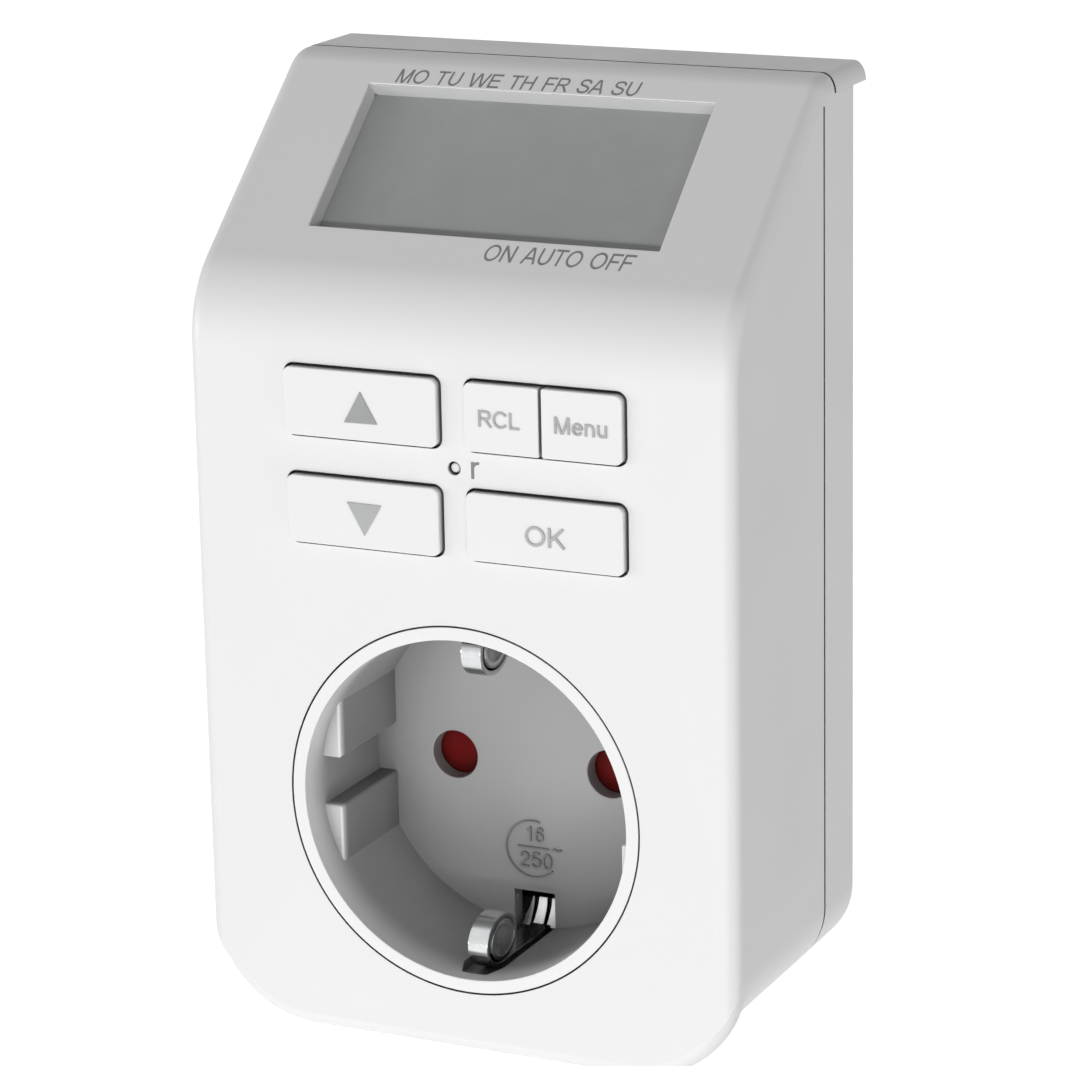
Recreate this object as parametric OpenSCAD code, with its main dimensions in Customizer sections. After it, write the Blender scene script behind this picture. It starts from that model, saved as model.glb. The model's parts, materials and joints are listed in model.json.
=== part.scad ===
// Plug in timer switch: a socket outlet with a digital weekly timer, plugged straight into a wall outlet.
// The origin is midway between the two plug pins in the plug's end face. +Y points into the wall,
// +X to the right seen from the front and +Z up. Depths are measured inwards from the front face.

/* [Body] */
// Width of the body
body_w = 63.6; // [62:0.2:72]
// Depth from the front face to the rear face
body_d = 34.5; // [34:0.5:38]
// Height of the top above the socket axis
top_h = 77.2; // [77:0.2:78.6]
// Distance of the underside below the socket axis
foot_h = 23.4; // [23.2:0.1:27]
// Wall thickness of both shells
wall = 1.9; // [1.5:0.1:2.1]
// Radius of the long edges between the front and the sides
edge_r = 2.5; // [1:0.1:2.8]
// Radius of the lower corners
low_corner_r = 8.3; // [6:0.1:9]
// Radius of the upper corners
top_corner_r = 2.3; // [1.5:0.1:2.8]
// Depth of the rear shell's sides
rear_side = 9.3; // [8.5:0.1:9.9]
// Overlap of the rear shell's inner rim with the front shell
rim_lap = 1.8; // [1:0.1:2.5]

/* [Sloping panel] */
// Distance of the panel's upper edge in front of the rear face
crest_in = 8.55; // [8.2:0.05:9]
// Height at which the panel's plane meets the front face
slope_z = 54.8; // [54.4:0.2:55]
// Radius of the bend between the front and the panel
bend_r = 12.5; // [8:0.5:14]
// Radius of the crest between the panel and the top
crest_r = 4.5; // [2:0.5:5]

/* [Top cap and bottom lip] */
// Reach of the top cap in front of the rear face
cap_reach = 6; // [5:0.1:6.3]
// Overhang of the top cap behind the rear face
cap_back = 3.4; // [1:0.1:6]
// Thickness of the top cap
cap_t = 2.1; // [1.8:0.1:2.6]
// Drop of the front lip below the underside
lip_drop = 4.3; // [2:0.1:6]
// Thickness of the front lip
lip_t = 2.7; // [2.6:0.1:3.5]
// Corner radius of the front lip
lip_corner_r = 12.6; // [9:0.2:14]

/* [Display] */
// Distance of the display opening from the sides of the body
display_side = 11.3; // [10.9:0.1:13]
// Height of the display opening along the panel
display_h = 19.9; // [17:0.1:20.4]
// Distance of the display's centre below the panel's upper edge
display_down = 14.3; // [14.2:0.1:14.6]
// Cover of the window behind the edge of the opening
window_lap = 1.2; // [0.8:0.1:1.3]
// Thickness of the display window
window_t = 1.1; // [0.8:0.1:1.2]
// Thickness of the display glass
lcd_t = 2; // [1.6:0.1:2.2]
// Height of the rubber connector strips
strip_h = 2.6; // [2:0.1:2.8]
// Width of the rubber connector strips
strip_w = 1.6; // [1.2:0.1:1.8]

/* [Keys] */
// Width of a full key opening
key_w = 18.6; // [17:0.1:19]
// Height of a key opening
key_h = 7.95; // [7:0.05:8.2]
// Radius of the key corners
key_r = 1.1; // [0.6:0.1:1.4]
// Distance between the two columns of keys
column_gap = 2.7; // [2.6:0.1:3.4]
// Distance between the two rows of keys
row_gap = 3.9; // [3.8:0.1:4.6]
// Height of the middle of the keypad
keypad_z = 38.15; // [37.8:0.05:38.6]
// Width of the recall key, the menu key takes the rest
recall_w = 9.05; // [8.6:0.05:9.6]
// Gap around each key
key_gap = 0.2; // [0.12:0.02:0.3]
// Height of the keys above the front face
key_proud = 0.9; // [0.6:0.1:1.2]
// Thickness of the flange behind each key
key_flange_t = 0.9; // [0.7:0.1:1]
// Overlap of the key flange behind the front wall
key_flange_lap = 0.8; // [0.6:0.1:0.9]
// Travel of the keys and of the reset plunger
key_travel = 0.5; // [0.3:0.05:0.6]
// Radius of the reset hole
reset_hole_r = 0.75; // [0.7:0.05:0.85]
// Radius of the reset plunger
reset_r = 0.5; // [0.4:0.05:0.6]
// Recess of the reset plunger's tip below the front face
reset_sink = 0.4; // [0.2:0.05:0.6]

/* [Push switches] */
// Width of a push switch
switch_w = 4.5; // [4:0.1:4.8]
// Height of a push switch body
switch_h = 3.5; // [3:0.1:3.8]
// Radius of a push switch's button
button_r = 1.5; // [1:0.1:1.7]
// Height of the button above its switch body
button_h = 0.9; // [0.7:0.1:1.1]
// Height of the key stem behind its flange
stem_h = 0.6; // [0.5:0.1:0.9]

/* [Boards] */
// Thickness of the circuit boards
board_t = 1.6; // [1:0.2:1.6]
// Width of the logic board
logic_w = 54; // [50:1:56]
// Height of the logic board
logic_h = 27; // [26.6:0.2:28]
// Width of the power board
power_w = 52; // [50:1:54]
// Height of the power board
power_h = 34; // [33:0.5:36]
// Gap between the power board and the rear wall
power_gap = 3; // [2:0.2:3.4]

/* [Socket] */
// Radius of the socket well
well_r = 19.15; // [19:0.05:19.25]
// Depth of the socket well
well_d = 17.5; // [17.2:0.1:18]
// Width of the rim around the well
rim_w = 1.5; // [1.3:0.05:1.55]
// Gap between the rim and the front shell
rim_gap = 0.12; // [0.08:0.02:0.2]
// Thickness of the well's floor
floor_t = 2; // [1.6:0.1:2.2]
// Distance between the two pin holes and between the two plug pins
pin_pitch = 19; // [18.8:0.1:19.2]
// Radius of the pin holes
hole_r = 2.75; // [2.6:0.05:2.9]
// Half distance between the flat faces of the guide blocks
block_x = 16.8; // [16.4:0.1:17.2]
// Height of a guide block
block_h = 6.8; // [5:0.1:7]
// Gap between the upper and the lower guide blocks
block_gap = 5.5; // [5:0.1:6]
// Depth at which the guide blocks start
block_d = 4; // [3:0.1:6]
// Width of the slots for the earth clips
slot_w = 5; // [4.8:0.1:5.4]
// Depth at which the earth slots start
slot_d = 1.8; // [1.6:0.1:2.4]
// Height of the earth windows in the floor
window_h = 4.2; // [3.6:0.1:4.3]
// Radius of the flange that holds the insert behind the front wall
flange_r = 23.4; // [22.6:0.1:23.6]

/* [Safety shutter] */
// Thickness of the shutter
shutter_t = 1.5; // [1.2:0.1:1.6]
// Outer radius of the shutter
shutter_r = 13.2; // [12.8:0.1:13.3]
// Half angle of each shutter wing
wing_a = 20; // [19:0.5:22]
// Radius of the shutter's hub post
post_r = 2; // [1.6:0.1:2.2]
// Radial running clearance on the post
post_gap = 0.05; // [0.03:0.01:0.08]
// Gap in front of and behind the shutter
shutter_gap = 0.2; // [0.1:0.05:0.3]
// Thickness of the shutter cover
cover_t = 1.2; // [1:0.1:1.4]
// Wire radius of the shutter spring
spring_wire_r = 0.22; // [0.15:0.01:0.24]
// Radius of the shutter spring's coil
spring_coil_r = 3.4; // [3.2:0.1:3.5]

/* [Contacts] */
// Thickness of the contact sheet
sheet_t = 0.6; // [0.4:0.05:0.7]
// Radius of the curl of the earth clips
curl_r = 2.9; // [2.4:0.1:3]
// Width of the curl
curl_w = 2.4; // [2:0.1:3]
// Bore radius of the line and neutral contacts
sleeve_r = 2.35; // [2.3:0.05:2.5]
// Gap between the line and neutral contacts and the rear wall
contact_gap = 0.9; // [0.8:0.1:1.8]

/* [Plug] */
// Radius of the plug body
plug_r = 18.9; // [18.6:0.1:19]
// Length of the plug body behind the rear face
plug_len = 17.5; // [17:0.1:18]
// Wall thickness of the plug body
plug_wall = 1.8; // [1.6:0.1:2]
// Radius of the plug pins
pin_r = 2.4; // [2.35:0.01:2.42]
// Length of the plug pins
pin_len = 19; // [18.5:0.1:19.5]
// Distance of the earth contact faces from the plug axis
earth_z = 16.3; // [16:0.1:16.5]
// Width of the plug's earth contacts
earth_w = 5; // [4.4:0.1:5.4]

/* [Fasteners] */
// Radius of the shank of the housing screws
screw_r = 1.45; // [1.2:0.05:1.6]
// Radius of the heads of the housing screws
screw_head_r = 2.6; // [2.4:0.1:2.8]
// Radius of the housing screw posts
screw_post_r = 3; // [2.8:0.1:3.1]
// Radius of the shank of the small screws
small_screw_r = 0.9; // [0.7:0.05:1]

/* [Hidden] */
$fn = 48;

small_fn = 24;      // facets of screws, stems and leads
cut = 1;            // how far a cutting solid runs past what it cuts
seat_gap = 0.1;     // between a piece and the seat that holds it
run_gap = 0.05;     // radial clearance of a round piece that slides, turns or is screwed in
seam_gap = 0.05;    // between the two shells
rim_t = 1;          // thickness of the rear shell's inner rim

front_y = -(body_d + plug_len);
half_w = body_w / 2;
plug_d = body_d + plug_len;
seam_d = body_d - rear_side;
cap_front_d = body_d - cap_reach;
display_w = body_w - 2 * display_side;
well_floor_d = well_d + floor_t;
floor_mid_d = well_d + floor_t / 2;
cover_screw_d = well_d + floor_t / 4;
rim_r = well_r + rim_w;
slope_a = atan((body_d - crest_in) / (top_h - slope_z));
slope_top = (top_h - slope_z) / cos(slope_a);
display_up = slope_top - display_down;

// Keys as [left edge, right edge, centre height, left and right overlap of the flange]
top_row_z = keypad_z + row_gap / 2 + key_h / 2;
low_row_z = keypad_z - row_gap / 2 - key_h / 2;
key_in_x = column_gap / 2;
key_out_x = column_gap / 2 + key_w;
split_x = key_in_x + recall_w;
UP = [-key_out_x, -key_in_x, top_row_z, key_flange_lap, key_flange_lap];
DOWN = [-key_out_x, -key_in_x, low_row_z, key_flange_lap, key_flange_lap];
OK = [key_in_x, key_out_x, low_row_z, key_flange_lap, key_flange_lap];
RECALL = [key_in_x, split_x + key_gap / 2, top_row_z, key_flange_lap, -key_gap];
MENU = [split_x - key_gap / 2, key_out_x, top_row_z, -key_gap, key_flange_lap];
function key_at(k) = [(k[0] + k[1]) / 2, k[2]];
RESET_AT = [0, keypad_z];
SWITCHES = [key_at(UP), key_at(DOWN), key_at(RECALL), key_at(MENU), key_at(OK), RESET_AT];

// Depths of the keypad's layers
flange_d = wall + seat_gap;
stem_d = flange_d + key_flange_t + stem_h;
switch_d = stem_d + button_h;
button_in = 0.6;
logic_d = switch_d + switch_h;
logic_back_d = logic_d + board_t;
stem_r = 1.2;
reset_flange_r = reset_r + 0.6;

// Display stack, as distances below the panel's face
window_in = wall + seat_gap / 2;
window_w = display_w + 2 * window_lap;
window_len = display_h + 2 * window_lap;
lcd_in = window_in + window_t + seat_gap;
lcd_inset = 0.4;
strip_in = lcd_in + lcd_t;
lcd_board_in = strip_in + strip_h;
lcd_board_t = 1;
holder_wall = 1;
holder_w = window_w + 2 * holder_wall;
holder_len = window_len + 2 * holder_wall;
strip_len = display_w - 4;
boss_x = holder_w / 2 + 1.7;
boss_r = 1.5;
boss_down = 6;
ear_len = 3.6;

// Boards
logic_z0 = rim_r + 1.4;
power_d = body_d - wall - power_gap - board_t;
power_back_d = power_d + board_t;
board_inset = 2.6;
function corners(w, h, z0) = [for (x = [-1, 1], z = [0, 1])
    [x * (w / 2 - board_inset), z0 + board_inset + z * (h - 2 * board_inset)]];
LOGIC_SCREWS = corners(logic_w, logic_h, logic_z0);
POWER_SCREWS = corners(power_w, power_h, logic_z0);
small_head_r = 1.8;
small_head_t = 1;
small_post_r = 2;
thread_len = 4.4;

// Housing screws
screw_x = half_w - wall - screw_post_r + 0.6;
upper_screw_z = top_h - 10.2;
lower_screw_z = low_corner_r - foot_h - 0.1;
HOUSING_SCREWS = [for (x = [-1, 1], z = [lower_screw_z, upper_screw_z]) [x * screw_x, z]];
head_t = 1.8;
head_seat_d = body_d - 4.2;
screw_tip_d = seam_d - 5.4;

// Socket insert
rim_chamfer = 0.3;
flange_t = 1.6;
ear_d = 7;
ear_r = 2.6;
ear_z = 13;
ear_x = 25;
SOCKET_SCREWS = [[-ear_x, ear_z], [ear_x, ear_z]];
slot_nose_w = 3;
slot_taper = 2.6;
pin_x = pin_pitch / 2;

// Shutter pocket behind the well's floor
pocket_r = shutter_r + 0.35;
pocket_wall = 1.1;
hub_r = 5;
shutter_d = well_floor_d + shutter_gap;
cover_d = shutter_d + shutter_t + shutter_gap;
COVER_SCREWS = [[0, 10.6], [0, -10.6]];
cover_post_r = 1.6;
groove_r = 0.55;
groove_depth = 1;
coil_turns = 1.4;
coil_rise = groove_depth + shutter_gap - 2 * spring_wire_r - seat_gap;

// Line and neutral contacts in the cups of the shutter cover
sleeve_d = cover_d + cover_t + seat_gap;
sleeve_end_d = body_d - wall - contact_gap;
cup_wall = 1;
cup_r = sleeve_r + sheet_t + seat_gap + cup_wall;
strap_len = 10;
strap_d = sleeve_end_d - sheet_t;
strap_w = 3.4;

// Earth bracket: arms in the well's slots, a cross plate in front of the rear wall
arm_z = well_r + 0.2 + sheet_t / 2;
cross_d = body_d - wall - 1.5;
cross_w = 3.4;
arm_w = 4.6;
foot_len = 5;
curl_d = 5.8;
curl_z = 15.6;
clip_bend_d = 10;
clip_lean = 0.6;
BRACKET_SCREWS = [[-5, 16], [5, -16]];
bracket_post_r = 1.6;
bracket_head_t = 0.7;

// Plug
face_t = 3;
shank_r = 2.7;
collar_r = 3.4;
collar_t = 2;
tail_r = 1.7;
tail_len = 5;
pin_tip_len = 1.2;
pin_tip_r = 1.5;
carrier_t = 4;
carrier_d = plug_d - face_t - carrier_t;
CARRIER_SCREWS = [[0, 8], [0, -8]];
guide_slack = 0.3;
foot_z0 = 12.5;
earth_end_d = plug_d - 1.5;

// Wires
wire_r = 0.8;
wire_lead = 1;
strap_wire_x = pin_x + 5.7;
supply_wire_x = pin_x + 8.7;
tail_d = plug_d - face_t - collar_t - tail_len;
tail_run = tail_d - body_d;
pass_z = plug_r * 2 / 3;
neutral_loop_z = 8.6;
rear_run_d = power_back_d + 1.4;
line_wire_x = pin_x + 0.5;
line_end_z = logic_z0 + 3;
strap_bow = 3;
strap_end_z = logic_z0 + 2.2;

// ---------------------------------------------------------------- drawing aids

// Y of a depth behind the front face
function at(d) = front_y + d;

// Extrudes an outline drawn in X and Z from one depth to another
module slab(d0, d1) {
    translate([0, at(d1), 0]) rotate([90, 0, 0]) linear_extrude(d1 - d0) children();
}

// Extrudes a profile drawn in depth and Z across the width
module across(w, x = 0) {
    translate([x - w / 2, front_y, 0]) rotate([90, 0, 90]) linear_extrude(w) children();
}

module rod(d0, d1, r, p = [0, 0]) {
    translate([p[0], at(d1), p[1]]) rotate([90, 0, 0]) cylinder(h = d1 - d0, r = r);
}

// A round body lying along X
module lying_rod(p, d, r, len) {
    translate([p[0] - len / 2, at(d), p[1]]) rotate([0, 90, 0]) cylinder(h = len, r = r, $fn = small_fn);
}

module box(x0, x1, d0, d1, z0, z1) {
    translate([x0, at(d0), z0]) cube([x1 - x0, d1 - d0, z1 - z0]);
}

// Puts a piece on the sloping panel: local Y runs up the panel, local Z out of it
module on_slope() {
    translate([0, front_y, slope_z]) rotate([90 - slope_a, 0, 0]) children();
}

// A plate behind the panel's face, centred on the display
module slope_plate(w, len, below, t) {
    on_slope() translate([-w / 2, display_up - len / 2, -below - t]) cube([w, len, t]);
}

// Outline of the body in X and Z, set in by a margin
module outline(inset = 0) {
    low = low_corner_r - inset;
    high = max(top_corner_r - inset, 0.4);
    w = body_w - 2 * inset;
    z0 = inset - foot_h;
    z1 = top_h - inset;
    translate([-w / 2, z0 + low]) square([w, z1 - z0 - low - high]);
    translate([low - w / 2, z0]) square([w - 2 * low, z1 - z0 - high]);
    translate([high - w / 2, z0 + low]) square([w - 2 * high, z1 - z0 - low]);
    for (s = [-1, 1]) {
        translate([s * (w / 2 - low), z0 + low]) circle(low);
        translate([s * (w / 2 - high), z1 - high]) circle(high);
    }
}

function arc(d, z, r, a0, a1, n) =
    [for (i = [0 : n]) let (a = a0 + (a1 - a0) * i / n) [d - r * cos(a), z + r * sin(a)]];

// Side profile of the body: front, bend, panel and crest, set in by a margin
function side_profile(inset, back_d, low) = concat(
    [[back_d, low], [inset, low]],
    arc(bend_r, slope_z - bend_r * tan(slope_a / 2), bend_r - inset, 0, slope_a, 8),
    arc(slope_top * sin(slope_a) + crest_r * tan(45 - slope_a / 2), top_h - crest_r,
        max(crest_r - inset, 0.2), slope_a, 90, 4),
    [[back_d, top_h - inset]]
);

// Strip of sheet along a bent line of [depth, height] points
function normal(a, b) = [a[1] - b[1], b[0] - a[0]] / norm(b - a);
function mitre(p, i) = let (m = normal(p[max(i - 1, 0)], p[max(i, 1)]),
    n = normal(p[min(i, len(p) - 2)], p[min(i + 1, len(p) - 1)])) (m + n) / (1 + m * n);
function ribbon(p, t) = concat([for (i = [0 : len(p) - 1]) p[i] + mitre(p, i) * t / 2],
    [for (i = [len(p) - 1 : -1 : 0]) p[i] - mitre(p, i) * t / 2]);
function mirrored(p) = [for (q = p) [q[0], -q[1]]];

// Smooth curve through hand-placed points
function spline(p, n) = concat([for (i = [0 : len(p) - 2], j = [0 : n - 1])
    let (a = p[max(i - 1, 0)], b = p[i], c = p[i + 1], d = p[min(i + 2, len(p) - 1)], t = j / n)
    0.5 * (2 * b + (c - a) * t + (2 * a - 5 * b + 4 * c - d) * t * t + (3 * b - a - 3 * c + d) * t * t * t)],
    [p[len(p) - 1]]);

// Round wire along a path that nowhere runs parallel to the reference direction
module sweep(path, r, reference, sides = 8) {
    n = len(path);
    tangent = [for (i = [0 : n - 1]) path[min(i + 1, n - 1)] - path[max(i - 1, 0)]];
    side = [for (t = tangent) cross(t, reference) / norm(cross(t, reference))];
    points = [for (i = [0 : n - 1], k = [0 : sides - 1])
        path[i] + r * (cos(360 * k / sides) * side[i]
            + sin(360 * k / sides) * cross(tangent[i], side[i]) / norm(tangent[i]))];
    polyhedron(points, concat([[for (k = [0 : sides - 1]) k]],
        [[for (k = [sides - 1 : -1 : 0]) (n - 1) * sides + k]],
        [for (i = [0 : n - 2], k = [0 : sides - 1], half = [0, 1])
            let (a = i * sides + k, b = i * sides + (k + 1) % sides)
            half == 0 ? [a, a + sides, b + sides] : [a, b + sides, b]]));
}

// Wire through [x, depth, z] points: straight into both ends, smooth between
module wire(points) {
    p = [for (q = points) [q[0], at(q[1]), q[2]]];
    last = len(p) - 1;
    sweep(concat([p[0]], spline([for (i = [1 : last - 1]) p[i]], 3), [p[last]]), wire_r, [1, 0, 0]);
}

// A screw seated at one depth with its tip at another, the slotted head on the far side of its seat
module screw(p, seat_d, tip_d, shank, head, head_h, $fn = small_fn) {
    out = tip_d > seat_d ? -1 : 1;
    head_d = seat_d + out * head_h;
    slot_d = head_d - out * head_h / 2;
    difference() {
        rod(min(seat_d, head_d), max(seat_d, head_d), head, p);
        for (a = [0, 90])
            slab(min(slot_d, head_d + out * cut), max(slot_d, head_d + out * cut))
                translate(p) rotate(a) square([head * 1.2, head * 0.22], center = true);
    }
    rod(min(seat_d + out * head_h / 4, tip_d), max(seat_d + out * head_h / 4, tip_d), shank, p);
}

module small_screw(p, seat_d, tip_d) {
    screw(p, seat_d, tip_d, small_screw_r, small_head_r, small_head_t);
}

module screw_hole(p, d0, d1, r = small_screw_r) {
    rod(d0, d1, r + run_gap, p, $fn = small_fn);
}

// ---------------------------------------------------------------- front shell

function fillet_in(i, n) = edge_r * (1 - sin(90 * i / n));
function fillet_out(i, n) = edge_r * (1 - cos(90 * i / n));
fillet_steps = 4;

module body_form() {
    hull() for (i = [0 : fillet_steps])
        across(body_w - 2 * fillet_out(i, fillet_steps))
            polygon(side_profile(fillet_in(i, fillet_steps), cap_front_d + cut, -foot_h));
}

module front_lip() {
    hull() for (i = [0 : fillet_steps]) slab(fillet_out(i, fillet_steps), lip_t) {
        inset = fillet_in(i, fillet_steps);
        w = body_w - 2 * inset;
        r = lip_corner_r - inset;
        z0 = inset - foot_h - lip_drop;
        translate([-w / 2, z0 + r]) square([w, r]);
        for (s = [-1, 1]) translate([s * (w / 2 - r), z0 + r]) circle(r);
    }
}

// Region in front of the parting line, which steps back below the top cap
module front_half(gap) {
    step_z = top_h - cap_t;
    across(body_w + 4 * cut) polygon([[-cut, -2 * foot_h], [seam_d + gap, -2 * foot_h],
        [seam_d + gap, step_z - cut], [cap_front_d + gap, step_z], [cap_front_d + gap, top_h + cut],
        [-cut, top_h + cut]]);
}

module front_posts() {
    intersection() {
        union() {
            for (p = HOUSING_SCREWS) rod(0, seam_d, screw_post_r, p);
            for (p = LOGIC_SCREWS) rod(0, logic_d, small_post_r, p);
            for (p = SOCKET_SCREWS) rod(0, ear_d, small_post_r, p);
            on_slope() for (s = [-1, 1])
                translate([s * boss_x, display_up - boss_down, -lcd_board_in])
                    cylinder(h = lcd_board_in, r = boss_r);
        }
        across(body_w - wall) polygon(side_profile(wall / 2, seam_d, -foot_h));
    }
}

module key_outline(k, inset) {
    r = key_r - inset;
    x0 = k[0] + inset;
    x1 = k[1] - inset;
    z0 = k[2] - key_h / 2 + inset;
    z1 = k[2] + key_h / 2 - inset;
    translate([x0 + r, z0]) square([x1 - x0 - 2 * r, z1 - z0]);
    translate([x0, z0 + r]) square([x1 - x0, z1 - z0 - 2 * r]);
    for (x = [x0 + r, x1 - r], z = [z0 + r, z1 - r]) translate([x, z]) circle(r, $fn = small_fn);
}

module front_shell() {
    color("white") difference() {
        union() {
            difference() {
                union() {
                    intersection() {
                        body_form();
                        slab(-cut, cap_front_d + cut) outline();
                        front_half(0);
                    }
                    front_lip();
                }
                intersection() {
                    across(body_w) polygon(side_profile(wall, cap_front_d + 2 * cut, wall - foot_h));
                    slab(0, cap_front_d + 2 * cut) outline(wall);
                }
            }
            front_posts();
        }
        slope_plate(display_w, display_h, -cut, window_in + cut);
        for (k = [UP, DOWN, OK, [RECALL[0], MENU[1], RECALL[2]]]) slab(-cut, wall + cut) key_outline(k, 0);
        rod(-cut, wall + cut, reset_hole_r, RESET_AT, $fn = small_fn);
        rod(-cut, wall + cut, rim_r + rim_gap);
        for (p = HOUSING_SCREWS) screw_hole(p, screw_tip_d - run_gap, seam_d + cut, screw_r);
        for (p = LOGIC_SCREWS) screw_hole(p, logic_d - thread_len - run_gap, logic_d + cut);
        for (p = SOCKET_SCREWS) screw_hole(p, ear_d - thread_len - run_gap, ear_d + cut);
        on_slope() for (s = [-1, 1]) translate([s * boss_x, display_up - boss_down, -lcd_board_in - cut])
            cylinder(h = thread_len + cut, r = small_screw_r + run_gap, $fn = small_fn);
    }
}

// ---------------------------------------------------------------- rear shell

// Section of the plug body: round, with notches for the guide blocks and flats for the earth contacts
module plug_section(inset) {
    notch_h = block_gap / 2 + block_h + guide_slack + inset;
    difference() {
        circle(plug_r - inset);
        for (s = [-1, 1]) {
            translate([s * (block_x - guide_slack - inset + plug_r / 2), 0])
                square([plug_r, 2 * notch_h], center = true);
            translate([0, s * (earth_z - inset + plug_r / 2)])
                square([earth_w + 2 * guide_slack + 2 * inset, plug_r], center = true);
        }
    }
}

module rear_rim() {
    intersection() {
        slab(seam_d - rim_lap, seam_d + wall) difference() {
            outline(wall + seat_gap);
            outline(wall + seat_gap + rim_t);
            for (p = HOUSING_SCREWS) translate(p) circle(screw_post_r + 2 * seat_gap);
        }
        box(-half_w, half_w, 0, body_d, -foot_h, slope_z);
    }
    slab(seam_d + seam_gap, seam_d + wall) intersection() {
        difference() {
            outline(wall / 2);
            outline(wall + seat_gap + rim_t);
        }
        translate([-half_w, -foot_h]) square([body_w, slope_z + foot_h]);
    }
}

module rear_shell() {
    color("white") difference() {
        union() {
            difference() {
                slab(seam_d, body_d) outline();
                slab(0, body_d - wall) outline(wall);
                front_half(seam_gap);
            }
            rear_rim();
            intersection() {
                slab(cap_front_d + seam_gap, body_d + cap_back) outline();
                box(-half_w, half_w, 0, body_d + cap_back, top_h - cap_t, top_h);
            }
            intersection() {
                for (p = HOUSING_SCREWS) rod(seam_d + seam_gap, body_d, screw_post_r + wall / 4, p);
                slab(0, body_d) outline(wall / 2);
            }
            for (p = POWER_SCREWS) rod(power_back_d, body_d - wall / 2, small_post_r, p);
            slab(body_d - wall, plug_d) plug_section(0);
        }
        slab(body_d - wall - cut, plug_d - face_t) plug_section(plug_wall);
        for (x = [-pin_x, pin_x]) rod(plug_d - face_t - cut, plug_d + cut, shank_r + run_gap, [x, 0]);
        for (p = CARRIER_SCREWS) screw_hole(p, plug_d - face_t - cut, plug_d - face_t / 4);
        for (p = POWER_SCREWS) screw_hole(p, power_back_d - cut, body_d - wall / 2);
        for (p = HOUSING_SCREWS) {
            screw_hole(p, seam_d - cut, body_d, screw_r);
            rod(head_seat_d, body_d + cut, screw_head_r + seat_gap, p);
        }
        slab(body_d - wall - cut, body_d + seat_gap) for (s = [-1, 1])
            translate([0, s * (earth_z + sheet_t / 2)])
                square([earth_w + 2 * seat_gap, sheet_t + 2 * seat_gap], center = true);
    }
}

module housing_screws() {
    color("silver") for (p = HOUSING_SCREWS)
        screw(p, head_seat_d, screw_tip_d, screw_r, screw_head_r, head_t);
}

// ---------------------------------------------------------------- display

module display_window() {
    color("lightgray") slope_plate(window_w, window_len, window_in, window_t);
}

module lcd_panel() {
    color("darkseagreen") difference() {
        slope_plate(window_w - 2 * lcd_inset, window_len - 2 * lcd_inset, lcd_in, lcd_t);
        on_slope() translate([-window_w, display_up + window_len / 2 - 3 * lcd_inset, -lcd_in - lcd_t / 2])
            cube([2 * window_w, window_len, lcd_t]);
    }
}

module lcd_holder() {
    color("gainsboro") difference() {
        slope_plate(holder_w, holder_len, window_in, lcd_board_in - window_in);
        slope_plate(window_w + 2 * seat_gap, window_len + 2 * seat_gap, window_in - cut,
            strip_in - window_in + cut);
        slope_plate(display_w - 2, display_h, window_in, lcd_board_in - window_in + cut);
    }
}

module connector_strips() {
    color("dimgray") for (s = [-1, 1]) on_slope()
        translate([-strip_len / 2, display_up + s * (display_h / 2 - strip_w / 2 - seat_gap) - strip_w / 2,
            -lcd_board_in])
            cube([strip_len, strip_w, strip_h]);
}

module lcd_board() {
    color("darkgreen") difference() {
        union() {
            slope_plate(holder_w, holder_len, lcd_board_in, lcd_board_t);
            on_slope() translate([-boss_x - boss_r, display_up - boss_down - ear_len / 2,
                -lcd_board_in - lcd_board_t])
                cube([2 * (boss_x + boss_r), ear_len, lcd_board_t]);
        }
        on_slope() for (s = [-1, 1])
            translate([s * boss_x, display_up - boss_down, -lcd_board_in - lcd_board_t - cut])
                cylinder(h = lcd_board_t + 2 * cut, r = small_screw_r + run_gap, $fn = small_fn);
    }
}

module lcd_screws() {
    color("silver") on_slope() for (s = [-1, 1])
        translate([s * boss_x, display_up - boss_down, -lcd_board_in]) rotate([-90, 0, 0])
            translate([0, -front_y, 0]) small_screw([0, 0], lcd_board_t, 1 - thread_len);
}

// ---------------------------------------------------------------- keys and push switches

module key(k, split_side = 0) {
    color("white") {
        slab(-key_proud, flange_d + seat_gap) {
            key_outline(k, key_gap);
            if (split_side != 0) translate([split_side > 0 ? k[1] - key_gap - key_r : k[0] + key_gap,
                k[2] - key_h / 2 + key_gap]) square([key_r, key_h - 2 * key_gap]);
        }
        slab(flange_d, flange_d + key_flange_t)
            translate([k[0] - k[3], k[2] - key_h / 2 - key_flange_lap])
                square([k[1] - k[0] + k[3] + k[4], key_h + 2 * key_flange_lap]);
        rod(flange_d, stem_d, stem_r, key_at(k), $fn = small_fn);
    }
}

module key_up() { key(UP); }
module key_down() { key(DOWN); }
module key_recall() { key(RECALL, 1); }
module key_menu() { key(MENU, -1); }
module key_ok() { key(OK); }

module reset_plunger() {
    color("white") {
        rod(reset_sink, stem_d, reset_r, RESET_AT, $fn = small_fn);
        rod(flange_d, flange_d + key_flange_t, reset_flange_r, RESET_AT, $fn = small_fn);
    }
}

module button(p) {
    color("black") rod(stem_d, switch_d + button_in, button_r, p, $fn = small_fn);
}

module button_up() { button(key_at(UP)); }
module button_down() { button(key_at(DOWN)); }
module button_recall() { button(key_at(RECALL)); }
module button_menu() { button(key_at(MENU)); }
module button_ok() { button(key_at(OK)); }
module button_reset() { button(RESET_AT); }

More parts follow.
